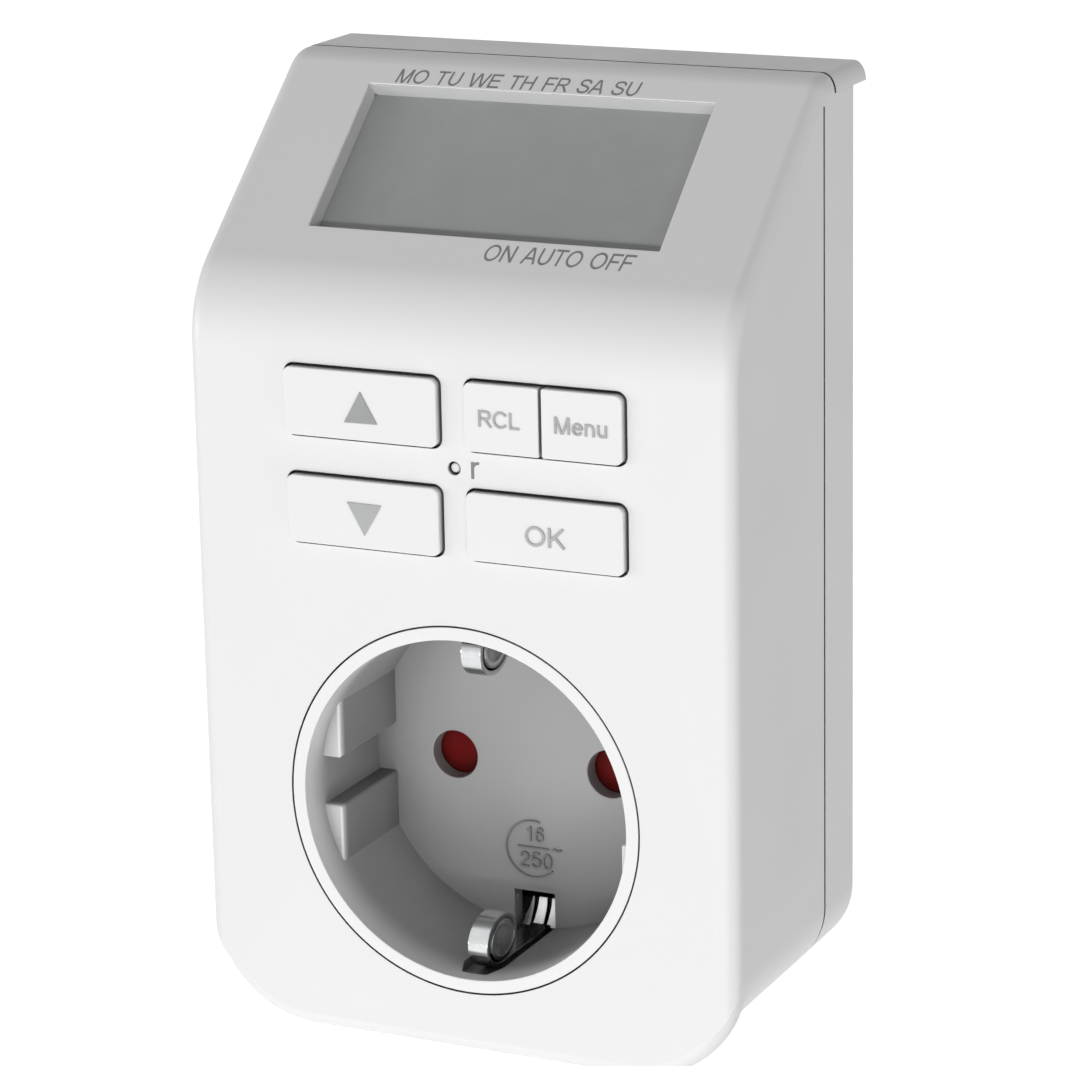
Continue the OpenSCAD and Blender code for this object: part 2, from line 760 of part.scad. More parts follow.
module switch_bodies() {
    foot_w = 0.7;
    foot_t = 0.3;
    color("gray") difference() {
        for (p = SWITCHES) {
            slab(switch_d, logic_d) translate(p) square(switch_w, center = true);
            slab(logic_d - foot_t, logic_d) for (s = [-1, 1])
                translate(p + [0, s * switch_w / 3]) square([switch_w + 2, foot_w], center = true);
        }
        for (p = SWITCHES)
            rod(switch_d - cut, switch_d + button_in + key_travel + seat_gap, button_r + run_gap, p,
                $fn = small_fn);
    }
}

// ---------------------------------------------------------------- logic board

module board(d, w, h, screws) {
    color("darkgreen") difference() {
        box(-w / 2, w / 2, d, d + board_t, logic_z0, logic_z0 + h);
        for (p = screws) screw_hole(p, d - cut, d + board_t + cut);
    }
}

module logic_board() { board(logic_d, logic_w, logic_h, LOGIC_SCREWS); }

module logic_screws() {
    color("silver") for (p = LOGIC_SCREWS) small_screw(p, logic_back_d, logic_d - thread_len);
}

board_top_z = logic_z0 + logic_h;
CHIP = [0, logic_z0 + 0.35 * logic_h];
chip_w = 9;
chip_t = 1.4;
lead_pitch = 1.2;
lead_w = 0.5;
lead_t = 0.3;

module controller_chip() {
    color("black") {
        slab(logic_back_d, logic_back_d + chip_t) translate(CHIP) square(chip_w, center = true);
        slab(logic_back_d, logic_back_d + lead_t) translate(CHIP) for (i = [-2.5 : 2.5]) {
            translate([i * lead_pitch, 0]) square([lead_w, chip_w + 2], center = true);
            translate([0, i * lead_pitch]) square([chip_w + 2, lead_w], center = true);
        }
    }
}

CRYSTAL = [-logic_w / 3, logic_z0 + 0.74 * logic_h];
crystal_r = 1.5;
crystal_len = 7;

module crystal() {
    color("silver") lying_rod(CRYSTAL, logic_back_d + crystal_r, crystal_r, crystal_len);
}

battery_r = 6;
battery_t = 5;
BATTERY = [logic_w / 2 - 2 * battery_r, logic_z0 + 2 * battery_r];

module backup_battery() {
    color("silver") rod(logic_back_d, logic_back_d + battery_t, battery_r, BATTERY);
}

// Flat links: where they are soldered down, how far they bow, and their place on the boards
link_t = 0.5;
link_land = 3;
display_link_w = 12;
display_bow = 4;
power_bow = 2.6;
power_land = 2.2;
power_link_w = 5;
power_link_x = logic_w / 2 - board_inset - small_head_r - power_link_w / 2 - 4 * seat_gap;
power_link_down = board_inset + small_head_r + 8 * seat_gap;

module display_link() {
    start = [display_up - holder_len / 2 + link_land, lcd_board_in + lcd_board_t + link_t / 2];
    back = logic_back_d + link_t / 2;
    function panel_at(up, below) = [up * sin(slope_a) + below * cos(slope_a),
        slope_z + up * cos(slope_a) - below * sin(slope_a)];
    color("khaki") across(display_link_w) polygon(ribbon([
        panel_at(start[0] + link_land, start[1]), panel_at(start[0], start[1]),
        [back + 1.4 * display_bow, board_top_z + 0.9 * display_bow],
        [back + display_bow, board_top_z - 0.1 * display_bow],
        [back, board_top_z - display_bow], [back, board_top_z - display_bow - link_land],
    ], link_t));
}

module power_link() {
    logic_at = logic_back_d + link_t / 2;
    power_at = power_d - link_t / 2;
    end_z = logic_z0 + power_h - power_link_down;
    color("khaki") across(power_link_w, power_link_x) polygon(ribbon([
        [logic_at, board_top_z - power_bow - power_land], [logic_at, board_top_z - power_bow],
        [logic_at + power_bow, board_top_z], [power_at - power_bow, end_z - 2 * power_land],
        [power_at, end_z - power_land], [power_at, end_z],
    ], link_t));
}

// ---------------------------------------------------------------- power board

module power_board() { board(power_d, power_w, power_h, POWER_SCREWS); }

module power_screws() {
    color("silver") for (p = POWER_SCREWS) small_screw(p, power_d, body_d - wall / 2 - seat_gap);
}

// The room between the boards sets the height of the large components.
// They are listed as [left, right, bottom, top, height above the board].
room = power_d - logic_back_d;
RELAY = [2 - power_w / 2, -5, 27.5, 42.5, 0.79 * room];
FILM = [2, power_w / 2 - 7, 27.5, 35, room - battery_t - 2];
SMOOTHER = [5.5, 42, 4, 0.57 * room];
DIODES = [[-17, 46], [-17, 50], [-8, 46], [-8, 50]];
diode_r = 1.3;
diode_len = 4.2;
ABSORBER = [15, 41.5];
absorber_r = 4;
absorber_t = 3.4;
FUSE = [2, 50.5];
fuse_r = 1.9;
fuse_len = 8;
DROPPER = [12.2, 48.5];
dropper_r = 1.3;
dropper_len = 6;
lead_r = 0.35;
lead_span = 1.6;

module block(c) {
    box(c[0], c[1], power_d - c[4], power_d, c[2], c[3]);
}

module relay() {
    rib = 0.6;
    color("royalblue") difference() {
        block(RELAY);
        box(RELAY[0] - cut, RELAY[1] + cut, power_d - 2 * rib, power_d - rib, RELAY[2] - cut, RELAY[2] + rib);
    }
}

module film_capacitor() { color("goldenrod") block(FILM); }

module smoothing_capacitor() {
    groove = 0.4;
    axis = [SMOOTHER[0], SMOOTHER[1]];
    r = SMOOTHER[2];
    color("midnightblue") {
        difference() {
            rod(power_d - SMOOTHER[3], power_d, r, axis);
            rod(power_d - 5 * groove, power_d - 3 * groove, r + cut, axis);
        }
        rod(power_d - SMOOTHER[3], power_d, r - groove, axis);
    }
}

// A round component lying on the board with a bent lead at each end
module axial(p, r, len) {
    d = power_d - r - lead_r;
    lying_rod(p, d, r, len);
    lying_rod(p, d, lead_r, len + 2 * lead_span);
    for (s = [-1, 1])
        rod(d, power_d, lead_r, p + [s * (len / 2 + lead_span - lead_r), 0], $fn = small_fn);
}

module rectifier_diodes() { color("black") for (p = DIODES) axial(p, diode_r, diode_len); }
module fuse() { color("lightgray") axial(FUSE, fuse_r, fuse_len); }
module dropper_resistor() { color("tan") axial(DROPPER, dropper_r, dropper_len); }

module surge_absorber() {
    color("steelblue") {
        lying_rod(ABSORBER, power_d - absorber_r - lead_r, absorber_r, absorber_t);
        for (s = [-1, 1])
            rod(power_d - absorber_r, power_d, lead_r, ABSORBER + [0, s * absorber_r / 2], $fn = small_fn);
    }
}

// ---------------------------------------------------------------- socket

module earth_slot(s) {
    inner = well_r - window_h;
    outer = arm_z + sheet_t / 2 + 2 * seat_gap;
    end_d = well_floor_d + cut;
    taper_d = slot_d + slot_taper;
    translate([0, front_y, s > 0 ? inner : -outer]) linear_extrude(outer - inner) polygon([
        [-slot_nose_w / 2, slot_d], [slot_nose_w / 2, slot_d], [slot_w / 2, taper_d],
        [slot_w / 2, end_d], [-slot_w / 2, end_d], [-slot_w / 2, taper_d]]);
}

module guide_blocks() {
    intersection() {
        rod(block_d, floor_mid_d, well_r + rim_w / 2);
        for (x = [-1, 1], z = [-1, 1]) slab(block_d, floor_mid_d)
            translate([x * (block_x + well_r / 2), z * (block_gap + block_h) / 2])
                square([well_r, block_h], center = true);
    }
}

module socket_insert() {
    color("whitesmoke") difference() {
        union() {
            difference() {
                union() {
                    rod(rim_chamfer, well_floor_d, rim_r);
                    translate([0, at(rim_chamfer), 0]) rotate([90, 0, 0])
                        cylinder(h = rim_chamfer, r1 = rim_r, r2 = rim_r - rim_chamfer);
                    slab(flange_d, flange_d + flange_t) intersection() {
                        circle(flange_r);
                        outline(wall + seat_gap);
                    }
                    slab(ear_d, ear_d + flange_t) for (s = [-1, 1]) {
                        translate([s * ear_x, ear_z]) circle(ear_r);
                        translate([s * (ear_x + ear_z) / 2, ear_z])
                            square([ear_x - ear_z, 2 * ear_r], center = true);
                    }
                }
                rod(-cut, well_d, well_r);
            }
            guide_blocks();
            difference() {
                rod(floor_mid_d, cover_d, pocket_r + pocket_wall);
                rod(well_floor_d, cover_d + cut, pocket_r);
            }
            rod(floor_mid_d, cover_d, post_r, $fn = small_fn);
            for (p = COVER_SCREWS) rod(floor_mid_d, cover_d, cover_post_r, p, $fn = small_fn);
            for (p = BRACKET_SCREWS) rod(floor_mid_d, cross_d, bracket_post_r, p, $fn = small_fn);
        }
        for (s = [-1, 1]) {
            earth_slot(s);
            rod(well_d - cut, well_floor_d + cut, hole_r, [s * pin_x, 0]);
        }
        for (p = SOCKET_SCREWS) screw_hole(p, ear_d - cut, ear_d + flange_t + cut);
        for (p = COVER_SCREWS) screw_hole(p, cover_screw_d, cover_d + cut);
        for (p = BRACKET_SCREWS) screw_hole(p, cross_d - thread_len - run_gap, cross_d + cut);
    }
}

module socket_screws() {
    color("silver") for (p = SOCKET_SCREWS) small_screw(p, ear_d + flange_t, ear_d - thread_len);
}

// Wing of the shutter as a sector drawn in X and Z
module wing(side) {
    reach = 2 * shutter_r;
    intersection() {
        circle(shutter_r);
        polygon([[0, 0], [side * reach, reach * tan(wing_a)], [side * reach, -reach * tan(wing_a)]]);
    }
}

module safety_shutter() {
    color("darkred") difference() {
        slab(shutter_d, shutter_d + shutter_t) {
            circle(hub_r);
            wing(1);
            wing(-1);
        }
        rod(shutter_d - cut, shutter_d + shutter_t + cut, post_r + post_gap, $fn = small_fn);
        difference() {
            rod(shutter_d + shutter_t - groove_depth, shutter_d + shutter_t + cut, spring_coil_r + groove_r);
            rod(shutter_d, shutter_d + shutter_t + cut, spring_coil_r - groove_r);
        }
    }
}

module shutter_spring() {
    steps = 40;
    d0 = shutter_d + shutter_t - groove_depth + spring_wire_r + seat_gap / 2;
    color("silver") sweep([for (i = [0 : steps]) let (a = 360 * coil_turns * i / steps)
        [spring_coil_r * cos(a), at(d0 + coil_rise * i / steps), spring_coil_r * sin(a)]],
        spring_wire_r, [0, 1, 0]);
}

module shutter_cover() {
    bore = sleeve_r + sheet_t + seat_gap;
    color("whitesmoke") difference() {
        union() {
            rod(cover_d, cover_d + cover_t, pocket_r + pocket_wall);
            for (s = [-1, 1]) rod(cover_d, strap_d - seat_gap, cup_r, [s * pin_x, 0]);
        }
        for (s = [-1, 1]) {
            rod(cover_d + cover_t, sleeve_end_d, bore, [s * pin_x, 0]);
            rod(cover_d - cut, cover_d + 2 * cover_t, hole_r, [s * pin_x, 0]);
        }
        for (p = COVER_SCREWS) screw_hole(p, cover_d - cut, cover_d + cover_t + cut);
    }
}

module cover_screws() {
    color("silver") for (p = COVER_SCREWS) small_screw(p, cover_d + cover_t, cover_screw_d + run_gap);
}

// ---------------------------------------------------------------- contacts

function clip_path() = concat(
    [[well_floor_d + 1, arm_z], [well_d - 2, arm_z], [clip_bend_d, arm_z - clip_lean],
        [curl_d + curl_r / 2, curl_z + curl_r]],
    [for (a = [0 : 15 : 240]) [curl_d - curl_r * sin(a), curl_z + curl_r * cos(a)]]);

module earth_bracket() {
    base = [[cross_d + sheet_t / 2, arm_z], [well_floor_d + 0.4, arm_z]];
    color("gold") difference() {
        union() {
            for (s = [-1, 1]) {
                clip = clip_path();
                across(curl_w) polygon(ribbon(s > 0 ? clip : mirrored(clip), sheet_t));
                across(arm_w) polygon(ribbon(s > 0 ? base : mirrored(base), sheet_t));
            }
            slab(cross_d, cross_d + sheet_t) {
                square([cross_w, 2 * arm_z + sheet_t], center = true);
                for (s = [-1, 1]) translate([0, s * (arm_z - foot_len / 2)])
                    square([arm_w, foot_len + sheet_t], center = true);
                for (p = BRACKET_SCREWS) {
                    translate(p) circle(bracket_post_r + 0.3, $fn = small_fn);
                    translate([p[0] / 2, p[1]]) square([abs(p[0]), 2 * bracket_post_r], center = true);
                }
            }
        }
        for (p = BRACKET_SCREWS) screw_hole(p, cross_d - cut, cross_d + sheet_t + cut);
    }
}

module bracket_screws() {
    color("silver") for (p = BRACKET_SCREWS)
        screw(p, cross_d + sheet_t, cross_d - thread_len, small_screw_r, small_head_r, bracket_head_t);
}

module plug_earth_contacts() {
    z = earth_z + seat_gap / 2 + sheet_t / 2;
    d = cross_d + 1.5 * sheet_t + seat_gap / 2;
    strip = [[d, foot_z0], [d, z], [earth_end_d, z]];
    color("gold") for (s = [-1, 1])
        across(earth_w) polygon(ribbon(s > 0 ? strip : mirrored(strip), sheet_t));
}

module socket_contact(s) {
    slit = 0.8;
    color("gold") difference() {
        union() {
            rod(sleeve_d, sleeve_end_d, sleeve_r + sheet_t, [s * pin_x, 0]);
            slab(strap_d, sleeve_end_d)
                translate([s * (pin_x + strap_len / 2), 0]) square([strap_len, strap_w], center = true);
        }
        rod(sleeve_d - cut, sleeve_end_d + cut, sleeve_r, [s * pin_x, 0]);
        slab(sleeve_d - cut, sleeve_end_d - 3 * sheet_t)
            translate([s * pin_x, 0]) square([slit, 4 * sleeve_r], center = true);
    }
}

module line_contact() { socket_contact(-1); }
module neutral_contact() { socket_contact(1); }

// ---------------------------------------------------------------- plug

module plug_pin(x) {
    inner = plug_d - face_t;
    color("silver") {
        rod(plug_d, plug_d + pin_len - pin_tip_len, pin_r, [x, 0]);
        translate([x, at(plug_d + pin_len - pin_tip_len), 0]) rotate([-90, 0, 0])
            cylinder(h = pin_tip_len, r1 = pin_r, r2 = pin_tip_r);
        rod(inner, plug_d, shank_r, [x, 0]);
        rod(inner - collar_t, inner, collar_r, [x, 0]);
        rod(tail_d, inner - collar_t, tail_r, [x, 0]);
    }
}

module line_pin() { plug_pin(-pin_x); }
module neutral_pin() { plug_pin(pin_x); }

module pin_carrier() {
    back = plug_d - face_t;
    color("gainsboro") difference() {
        slab(carrier_d, back) plug_section(plug_wall + seat_gap);
        for (x = [-pin_x, pin_x]) {
            rod(carrier_d - cut, back, tail_r + run_gap, [x, 0]);
            rod(back - collar_t - run_gap, back + cut, collar_r + seat_gap, [x, 0]);
        }
        for (p = CARRIER_SCREWS) screw_hole(p, carrier_d - cut, back + cut);
    }
}

module carrier_screws() {
    color("silver") for (p = CARRIER_SCREWS) small_screw(p, carrier_d, plug_d - face_t / 4 - run_gap);
}

// ---------------------------------------------------------------- wires

// Points are given as shares of the runs that they cross
module wire_line() {
    color("saddlebrown") wire([[-pin_x, tail_d, 0], [-pin_x, tail_d - wire_lead, 0],
        [-pin_x, body_d + 0.63 * tail_run, 0.19 * pass_z],
        [-0.96 * pin_x, body_d + 0.39 * tail_run, 0.63 * pass_z],
        [-0.95 * pin_x, body_d + 0.09 * tail_run, 0.92 * pass_z],
        [-0.95 * pin_x, body_d - 0.8 * wall, pass_z],
        [-0.98 * pin_x, rear_run_d, 1.22 * pass_z], [-1.03 * pin_x, rear_run_d, 1.5 * pass_z],
        [-line_wire_x, rear_run_d, line_end_z - 1.5 * wire_lead],
        [-line_wire_x, power_back_d + wire_lead, line_end_z], [-line_wire_x, power_back_d, line_end_z]]);
}

// From a contact's strap up to the lower edge of the power board
module strap_to_board(x) {
    wire([[x, strap_d, 0], [x, strap_d - wire_lead, 0], [x, strap_d - 1.17 * strap_bow, 0.53 * strap_bow],
        [x, power_d - 0.93 * strap_bow, 2.33 * strap_bow], [x, power_d - strap_bow, 5 * strap_bow],
        [x, power_d - 0.87 * strap_bow, strap_end_z - strap_bow],
        [x, power_d - wire_lead, strap_end_z], [x, power_d, strap_end_z]]);
}

module wire_switched() { color("saddlebrown") strap_to_board(-supply_wire_x); }
module wire_supply() { color("royalblue") strap_to_board(supply_wire_x); }

module wire_neutral() {
    function across_x(t) = pin_x + t * (strap_wire_x - pin_x);
    color("royalblue") wire([[pin_x, tail_d, 0], [pin_x, tail_d - wire_lead, 0],
        [across_x(0.09), body_d + 0.6 * tail_run, 0.3 * neutral_loop_z],
        [across_x(0.32), body_d + 0.3 * tail_run, 0.7 * neutral_loop_z],
        [across_x(0.47), body_d - 0.07 * tail_run, 0.93 * neutral_loop_z],
        [across_x(0.6), strap_d, neutral_loop_z],
        [across_x(0.86), strap_d - 0.27 * neutral_loop_z, 0.79 * neutral_loop_z],
        [strap_wire_x, strap_d - 0.37 * neutral_loop_z, 0.35 * neutral_loop_z],
        [strap_wire_x, strap_d - wire_lead, 0], [strap_wire_x, strap_d, 0]]);
}

// ---------------------------------------------------------------- nodes

front_shell();
rear_shell();
housing_screws();
display_window();
lcd_panel();
lcd_holder();
connector_strips();
lcd_board();
lcd_screws();
key_up();
key_down();
key_recall();
key_menu();
key_ok();
reset_plunger();
button_up();
button_down();
button_recall();
button_menu();
button_ok();
button_reset();
switch_bodies();
logic_board();
logic_screws();
controller_chip();
crystal();
backup_battery();
display_link();
power_link();
power_board();
power_screws();
relay();
film_capacitor();
smoothing_capacitor();
rectifier_diodes();
surge_absorber();
fuse();
dropper_resistor();
socket_insert();
socket_screws();
safety_shutter();
shutter_spring();
shutter_cover();
cover_screws();
earth_bracket();
bracket_screws();
plug_earth_contacts();
line_contact();
neutral_contact();
line_pin();
neutral_pin();
pin_carrier();
carrier_screws();
wire_line();
wire_switched();
wire_neutral();
wire_supply();
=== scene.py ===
"""Plug in timer switch with a weekly clock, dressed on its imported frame.

Sizes are in millimetres and depths are measured inwards from the front face. The last step of each
piece scales it to metres, with the origin midway between the plug pins in the plug's end face.
"""
from __future__ import annotations

import json
import logging
import math
from dataclasses import dataclass, field, replace
from enum import Enum
from typing import Callable, Iterable, Sequence

import bmesh
import bpy
from bpy.types import Material, Node, NodeSocket, NodeTree, Object
from mathutils import Matrix, Vector

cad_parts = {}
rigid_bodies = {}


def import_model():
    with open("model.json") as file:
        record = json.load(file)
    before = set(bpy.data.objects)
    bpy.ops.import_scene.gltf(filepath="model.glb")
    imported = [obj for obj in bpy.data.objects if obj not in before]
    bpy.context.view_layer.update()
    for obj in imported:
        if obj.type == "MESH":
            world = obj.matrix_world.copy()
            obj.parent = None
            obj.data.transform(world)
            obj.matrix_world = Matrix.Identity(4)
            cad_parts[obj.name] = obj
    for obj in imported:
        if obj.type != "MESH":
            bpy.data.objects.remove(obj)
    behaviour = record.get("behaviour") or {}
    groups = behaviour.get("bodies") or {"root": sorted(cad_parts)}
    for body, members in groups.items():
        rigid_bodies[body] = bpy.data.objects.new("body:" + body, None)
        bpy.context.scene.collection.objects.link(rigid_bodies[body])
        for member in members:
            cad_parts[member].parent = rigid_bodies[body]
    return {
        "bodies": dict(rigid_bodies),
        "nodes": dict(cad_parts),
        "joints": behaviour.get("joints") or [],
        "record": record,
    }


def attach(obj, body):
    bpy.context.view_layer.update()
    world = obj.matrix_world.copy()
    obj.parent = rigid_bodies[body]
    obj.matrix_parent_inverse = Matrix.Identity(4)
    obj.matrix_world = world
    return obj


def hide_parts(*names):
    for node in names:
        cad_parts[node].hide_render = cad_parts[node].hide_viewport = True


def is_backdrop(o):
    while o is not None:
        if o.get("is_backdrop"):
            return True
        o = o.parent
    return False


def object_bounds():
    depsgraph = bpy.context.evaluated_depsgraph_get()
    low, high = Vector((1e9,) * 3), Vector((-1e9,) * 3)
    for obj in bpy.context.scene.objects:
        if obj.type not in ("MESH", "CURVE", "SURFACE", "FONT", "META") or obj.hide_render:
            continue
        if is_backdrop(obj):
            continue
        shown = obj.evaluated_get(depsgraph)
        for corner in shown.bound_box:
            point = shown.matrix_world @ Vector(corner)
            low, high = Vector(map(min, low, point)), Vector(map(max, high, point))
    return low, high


LOG = logging.getLogger("timer_switch")

Point = tuple[float, float]
Outline = list[Point]
Face = Callable[[float, float, float], Vector]

MM = 0.001
FACE_DEPTH = 52.0  # from the front face to the plug's end face
ROUND = 128  # sides of a full circle
WELD = 1e-5  # points closer than this become one
SHARP = 0.01  # smallest corner radius
EDGE_STEPS = 5  # steps of a small rounded edge
LETTER_FOOT = 0.02  # how deep letters reach below their face
LETTER_STEP = 0.002  # difference in height of strokes that cross
PRINT = 0.02  # how far printed words stand out


# ---------------------------------------------------------------- drawing aids


def at(depth: float) -> float:
    """Returns the Y, in mm, of a depth behind the front face."""
    return depth - FACE_DEPTH


def srgb(red: int, green: int, blue: int) -> tuple[float, float, float, float]:
    """Turns display values into a linear colour.

    Args:
        red: Red from 0 to 255.
        green: Green from 0 to 255.
        blue: Blue from 0 to 255.

    Returns:
        The colour with an alpha of 1.
    """
    def line(value: int) -> float:
        """Returns one display value as linear light."""
        part = value / 255
        return part / 12.92 if part <= 0.04045 else ((part + 0.055) / 1.055) ** 2.4
    return line(red), line(green), line(blue), 1.0


def arc(centre: Point, radius: float, start: float, end: float, steps: int) -> Outline:
    """Draws an arc.

    Args:
        centre: Middle of the circle.
        radius: Its radius.
        start: First angle in degrees, anticlockwise from the first axis.
        end: Last angle in degrees.
        steps: How many chords the arc has.

    Returns:
        The points from the start to the end of the arc.
    """
    points = []
    for i in range(steps + 1):
        a = math.radians(start + (end - start) * i / steps)
        points.append((centre[0] + radius * math.cos(a), centre[1] + radius * math.sin(a)))
    return points


def circle(centre: Point, radius: float, sides: int = ROUND) -> Outline:
    """Returns a closed circle as an outline without a double point."""
    return arc(centre, radius, 0, 360, sides)[:-1]


def soft_box(x0: float, x1: float, z0: float, z1: float, radii: Sequence[float], steps: int = 10) -> Outline:
    """Draws a rectangle with its own radius at each corner.

    Args:
        x0: Left edge.
        x1: Right edge.
        z0: Lower edge.
        z1: Upper edge.
        radii: Radii of the lower left, lower right, upper right and upper left corner.
        steps: Chords in each corner.

    Returns:
        The closed outline.
    """
    corners = ((x0, z0, 1, 1, 180), (x1, z0, -1, 1, 270), (x1, z1, -1, -1, 0), (x0, z1, 1, -1, 90))
    points: Outline = []
    for (x, z, sx, sz, start), radius in zip(corners, radii):
        r = max(radius, SHARP)
        points += arc((x + sx * r, z + sz * r), r, start, start + 90, steps)
    return points


def rounding(radius: float, steps: int) -> list[tuple[float, float]]:
    """Returns (run, inset) pairs of a quarter round, from full inset to none."""
    return [(radius * (1 - math.cos(math.pi / 2 * i / steps)), radius * (1 - math.sin(math.pi / 2 * i / steps)))
            for i in range(steps + 1)]


# ---------------------------------------------------------------- mesh aids


def loft(name: str, rings: Sequence[Sequence[Vector]], hollow: bool = False) -> Object:
    """Skins a row of rings that have equally many points.

    Args:
        name: Name of the new object.
        rings: Rings of points in mm.
        hollow: True joins the last ring to the first, False closes both ends.

    Returns:
        The new object, a closed solid in mm.
    """
    shape = bmesh.new()
    loops = [[shape.verts.new(p) for p in ring] for ring in rings]
    count = len(loops[0])
    pairs = list(zip(loops, loops[1:])) + ([(loops[-1], loops[0])] if hollow else [])
    for low, high in pairs:
        for i in range(count):
            j = (i + 1) % count
            shape.faces.new((low[i], low[j], high[j], high[i]))
    if not hollow:
        shape.faces.new(loops[0][::-1])
        shape.faces.new(loops[-1])
    bmesh.ops.remove_doubles(shape, verts=shape.verts, dist=WELD)
    bmesh.ops.recalc_face_normals(shape, faces=shape.faces)
    mesh = bpy.data.meshes.new(name)
    shape.to_mesh(mesh)
    shape.free()
    thing = bpy.data.objects.new(name, mesh)
    bpy.context.scene.collection.objects.link(thing)
    return thing


def slab(name: str, layers: Iterable[tuple[float, Outline]]) -> Object:
    """Skins outlines in X and Z that lie at different depths."""
    return loft(name, [[Vector((x, at(d), z)) for x, z in outline] for d, outline in layers])


def across(name: str, layers: Iterable[tuple[float, Outline]]) -> Object:
    """Skins outlines in depth and Z that lie at different X."""
    return loft(name, [[Vector((x, at(d), z)) for d, z in outline] for x, outline in layers])


def turned(name: str, rings: Iterable[Point], centre: Point = (0, 0), sides: int = ROUND) -> Object:
    """Skins circles given as (depth, radius) along the depth axis."""
    return slab(name, [(d, circle(centre, r, sides)) for d, r in rings])


def hoop(name: str, section: Iterable[Point], sides: int = ROUND) -> Object:
    """Turns a closed section given as (depth, radius) into a ring along the depth axis."""
    return loft(name, [[Vector((x, at(d), z)) for x, z in circle((0, 0), r, sides)] for d, r in section], True)


def prism(name: str, outline: Outline, d0: float, d1: float) -> Object:
    """Makes a straight solid of one outline between two depths."""
    return slab(name, [(d0, outline), (d1, outline)])


def rod(name: str, d0: float, d1: float, radius: float, centre: Point = (0, 0), sides: int = 48) -> Object:
    """Makes a plain round cutter or post along the depth axis."""
    return turned(name, [(d0, radius), (d1, radius)], centre, sides)


def drop(*things: Object) -> None:
    """Removes objects that were only tools.

    Args:
        *things: The objects.
    """
    for thing in things:
        mesh = thing.data
        bpy.data.objects.remove(thing)
        bpy.data.meshes.remove(mesh)


class Join(Enum):
    """Ways to join a solid with others."""

    ADD = "UNION"
    CUT = "DIFFERENCE"
    KEEP = "INTERSECT"


def join(body: Object, how: Join, *tools: Object) -> Object:
    """Joins a solid with each tool in turn and removes the tools.

    Args:
        body: The solid that changes.
        how: Add, cut or keep the common part.
        *tools: Closed solids.

    Returns:
        The changed solid.
    """
    for tool in tools:
        step = body.modifiers.new("join", "BOOLEAN")
        step.operation = how.value
        step.solver = "EXACT"
        step.object = tool
    shape = body.evaluated_get(bpy.context.evaluated_depsgraph_get())
    mesh = bpy.data.meshes.new_from_object(shape)
    old = body.data
    body.modifiers.clear()
    body.data = mesh
    bpy.data.meshes.remove(old)
    drop(*tools)
    return body


def gather(name: str, *things: Object) -> Object:
    """Puts several closed solids into one object without joining their surfaces.

    Args:
        name: Name of the new object.
        *things: The solids, which are removed.

    Returns:
        The new object.
    """
    shape = bmesh.new()
    for thing in things:
        shape.from_mesh(thing.data)
    mesh = bpy.data.meshes.new(name)
    shape.to_mesh(mesh)
    shape.free()
    drop(*things)
    whole = bpy.data.objects.new(name, mesh)
    bpy.context.scene.collection.objects.link(whole)
    return whole


def opening(name: str, outline: Callable[[float], Outline], depth: float, edge: float, place: Face) -> Object:
    """Makes a cutter for an opening whose front edge is softly rounded.

    Args:
        name: Name of the cutter.
        outline: Gives the opening's outline grown by a distance.
        depth: How deep the cutter goes.
        edge: Radius of the rounded front edge.
        place: Turns across, up and depth below the face into a point.

    Returns:
        The cutter.
    """
    layers = [(-1.0, edge)] + rounding(edge, EDGE_STEPS) + [(depth, 0.0)]
    return loft(name, [[place(x, z, d) for x, z in outline(grow)] for d, grow in layers])


def on_front(x: float, z: float, depth: float) -> Vector:
    """Places a point below the flat front face."""
    return Vector((x, at(depth), z))


def strip(name: str, path: Outline, thickness: float, width: float, edge: float) -> Object:
    """Bends a strip of sheet along a path in depth and Z, with its long edges rounded.

    Args:
        name: Name of the strip.
        path: Middle line of the sheet.
        thickness: Thickness of the sheet.
        width: Width across X.
        edge: Radius of its edges.

    Returns:
        The strip.
    """
    half = thickness / 2
    section = soft_box(-width / 2, width / 2, -half, half, [edge] * 4, 3)
    rings = []
    last = len(path) - 1
    for i, (d, z) in enumerate(path):
        a, b = path[max(i - 1, 0)], path[min(i + 1, last)]
        run = Vector((b[0] - a[0], b[1] - a[1])).normalized()
        rings.append([Vector((x, at(d - run.y * t), z + run.x * t)) for x, t in section])
    return loft(name, rings)


# ---------------------------------------------------------------- letters


@dataclass(frozen=True)
class Glyph:
    """A letter drawn with a broad pen: its width and the middle lines of its strokes, for a height of 1."""

    width: float
    strokes: tuple[tuple[Point, ...], ...]


def bow(centre: Point, rx: float, ry: float, start: float, end: float, steps: int = 16) -> tuple[Point, ...]:
    """Draws a part of an ellipse as a middle line.

    Args:
        centre: Middle of the ellipse.
        rx: Half its width.
        ry: Half its height.
        start: First angle in degrees.
        end: Last angle in degrees.
        steps: How many chords the line has.

    Returns:
        The points of the line.
    """
    return tuple((centre[0] + rx * x, centre[1] + ry * z) for x, z in arc((0, 0), 1, start, end, steps))


def whole(centre: Point, rx: float, ry: float) -> tuple[tuple[Point, ...], ...]:
    """Returns a whole ellipse as two strokes that overlap a little."""
    return bow(centre, rx, ry, -4, 184), bow(centre, rx, ry, 176, 364)


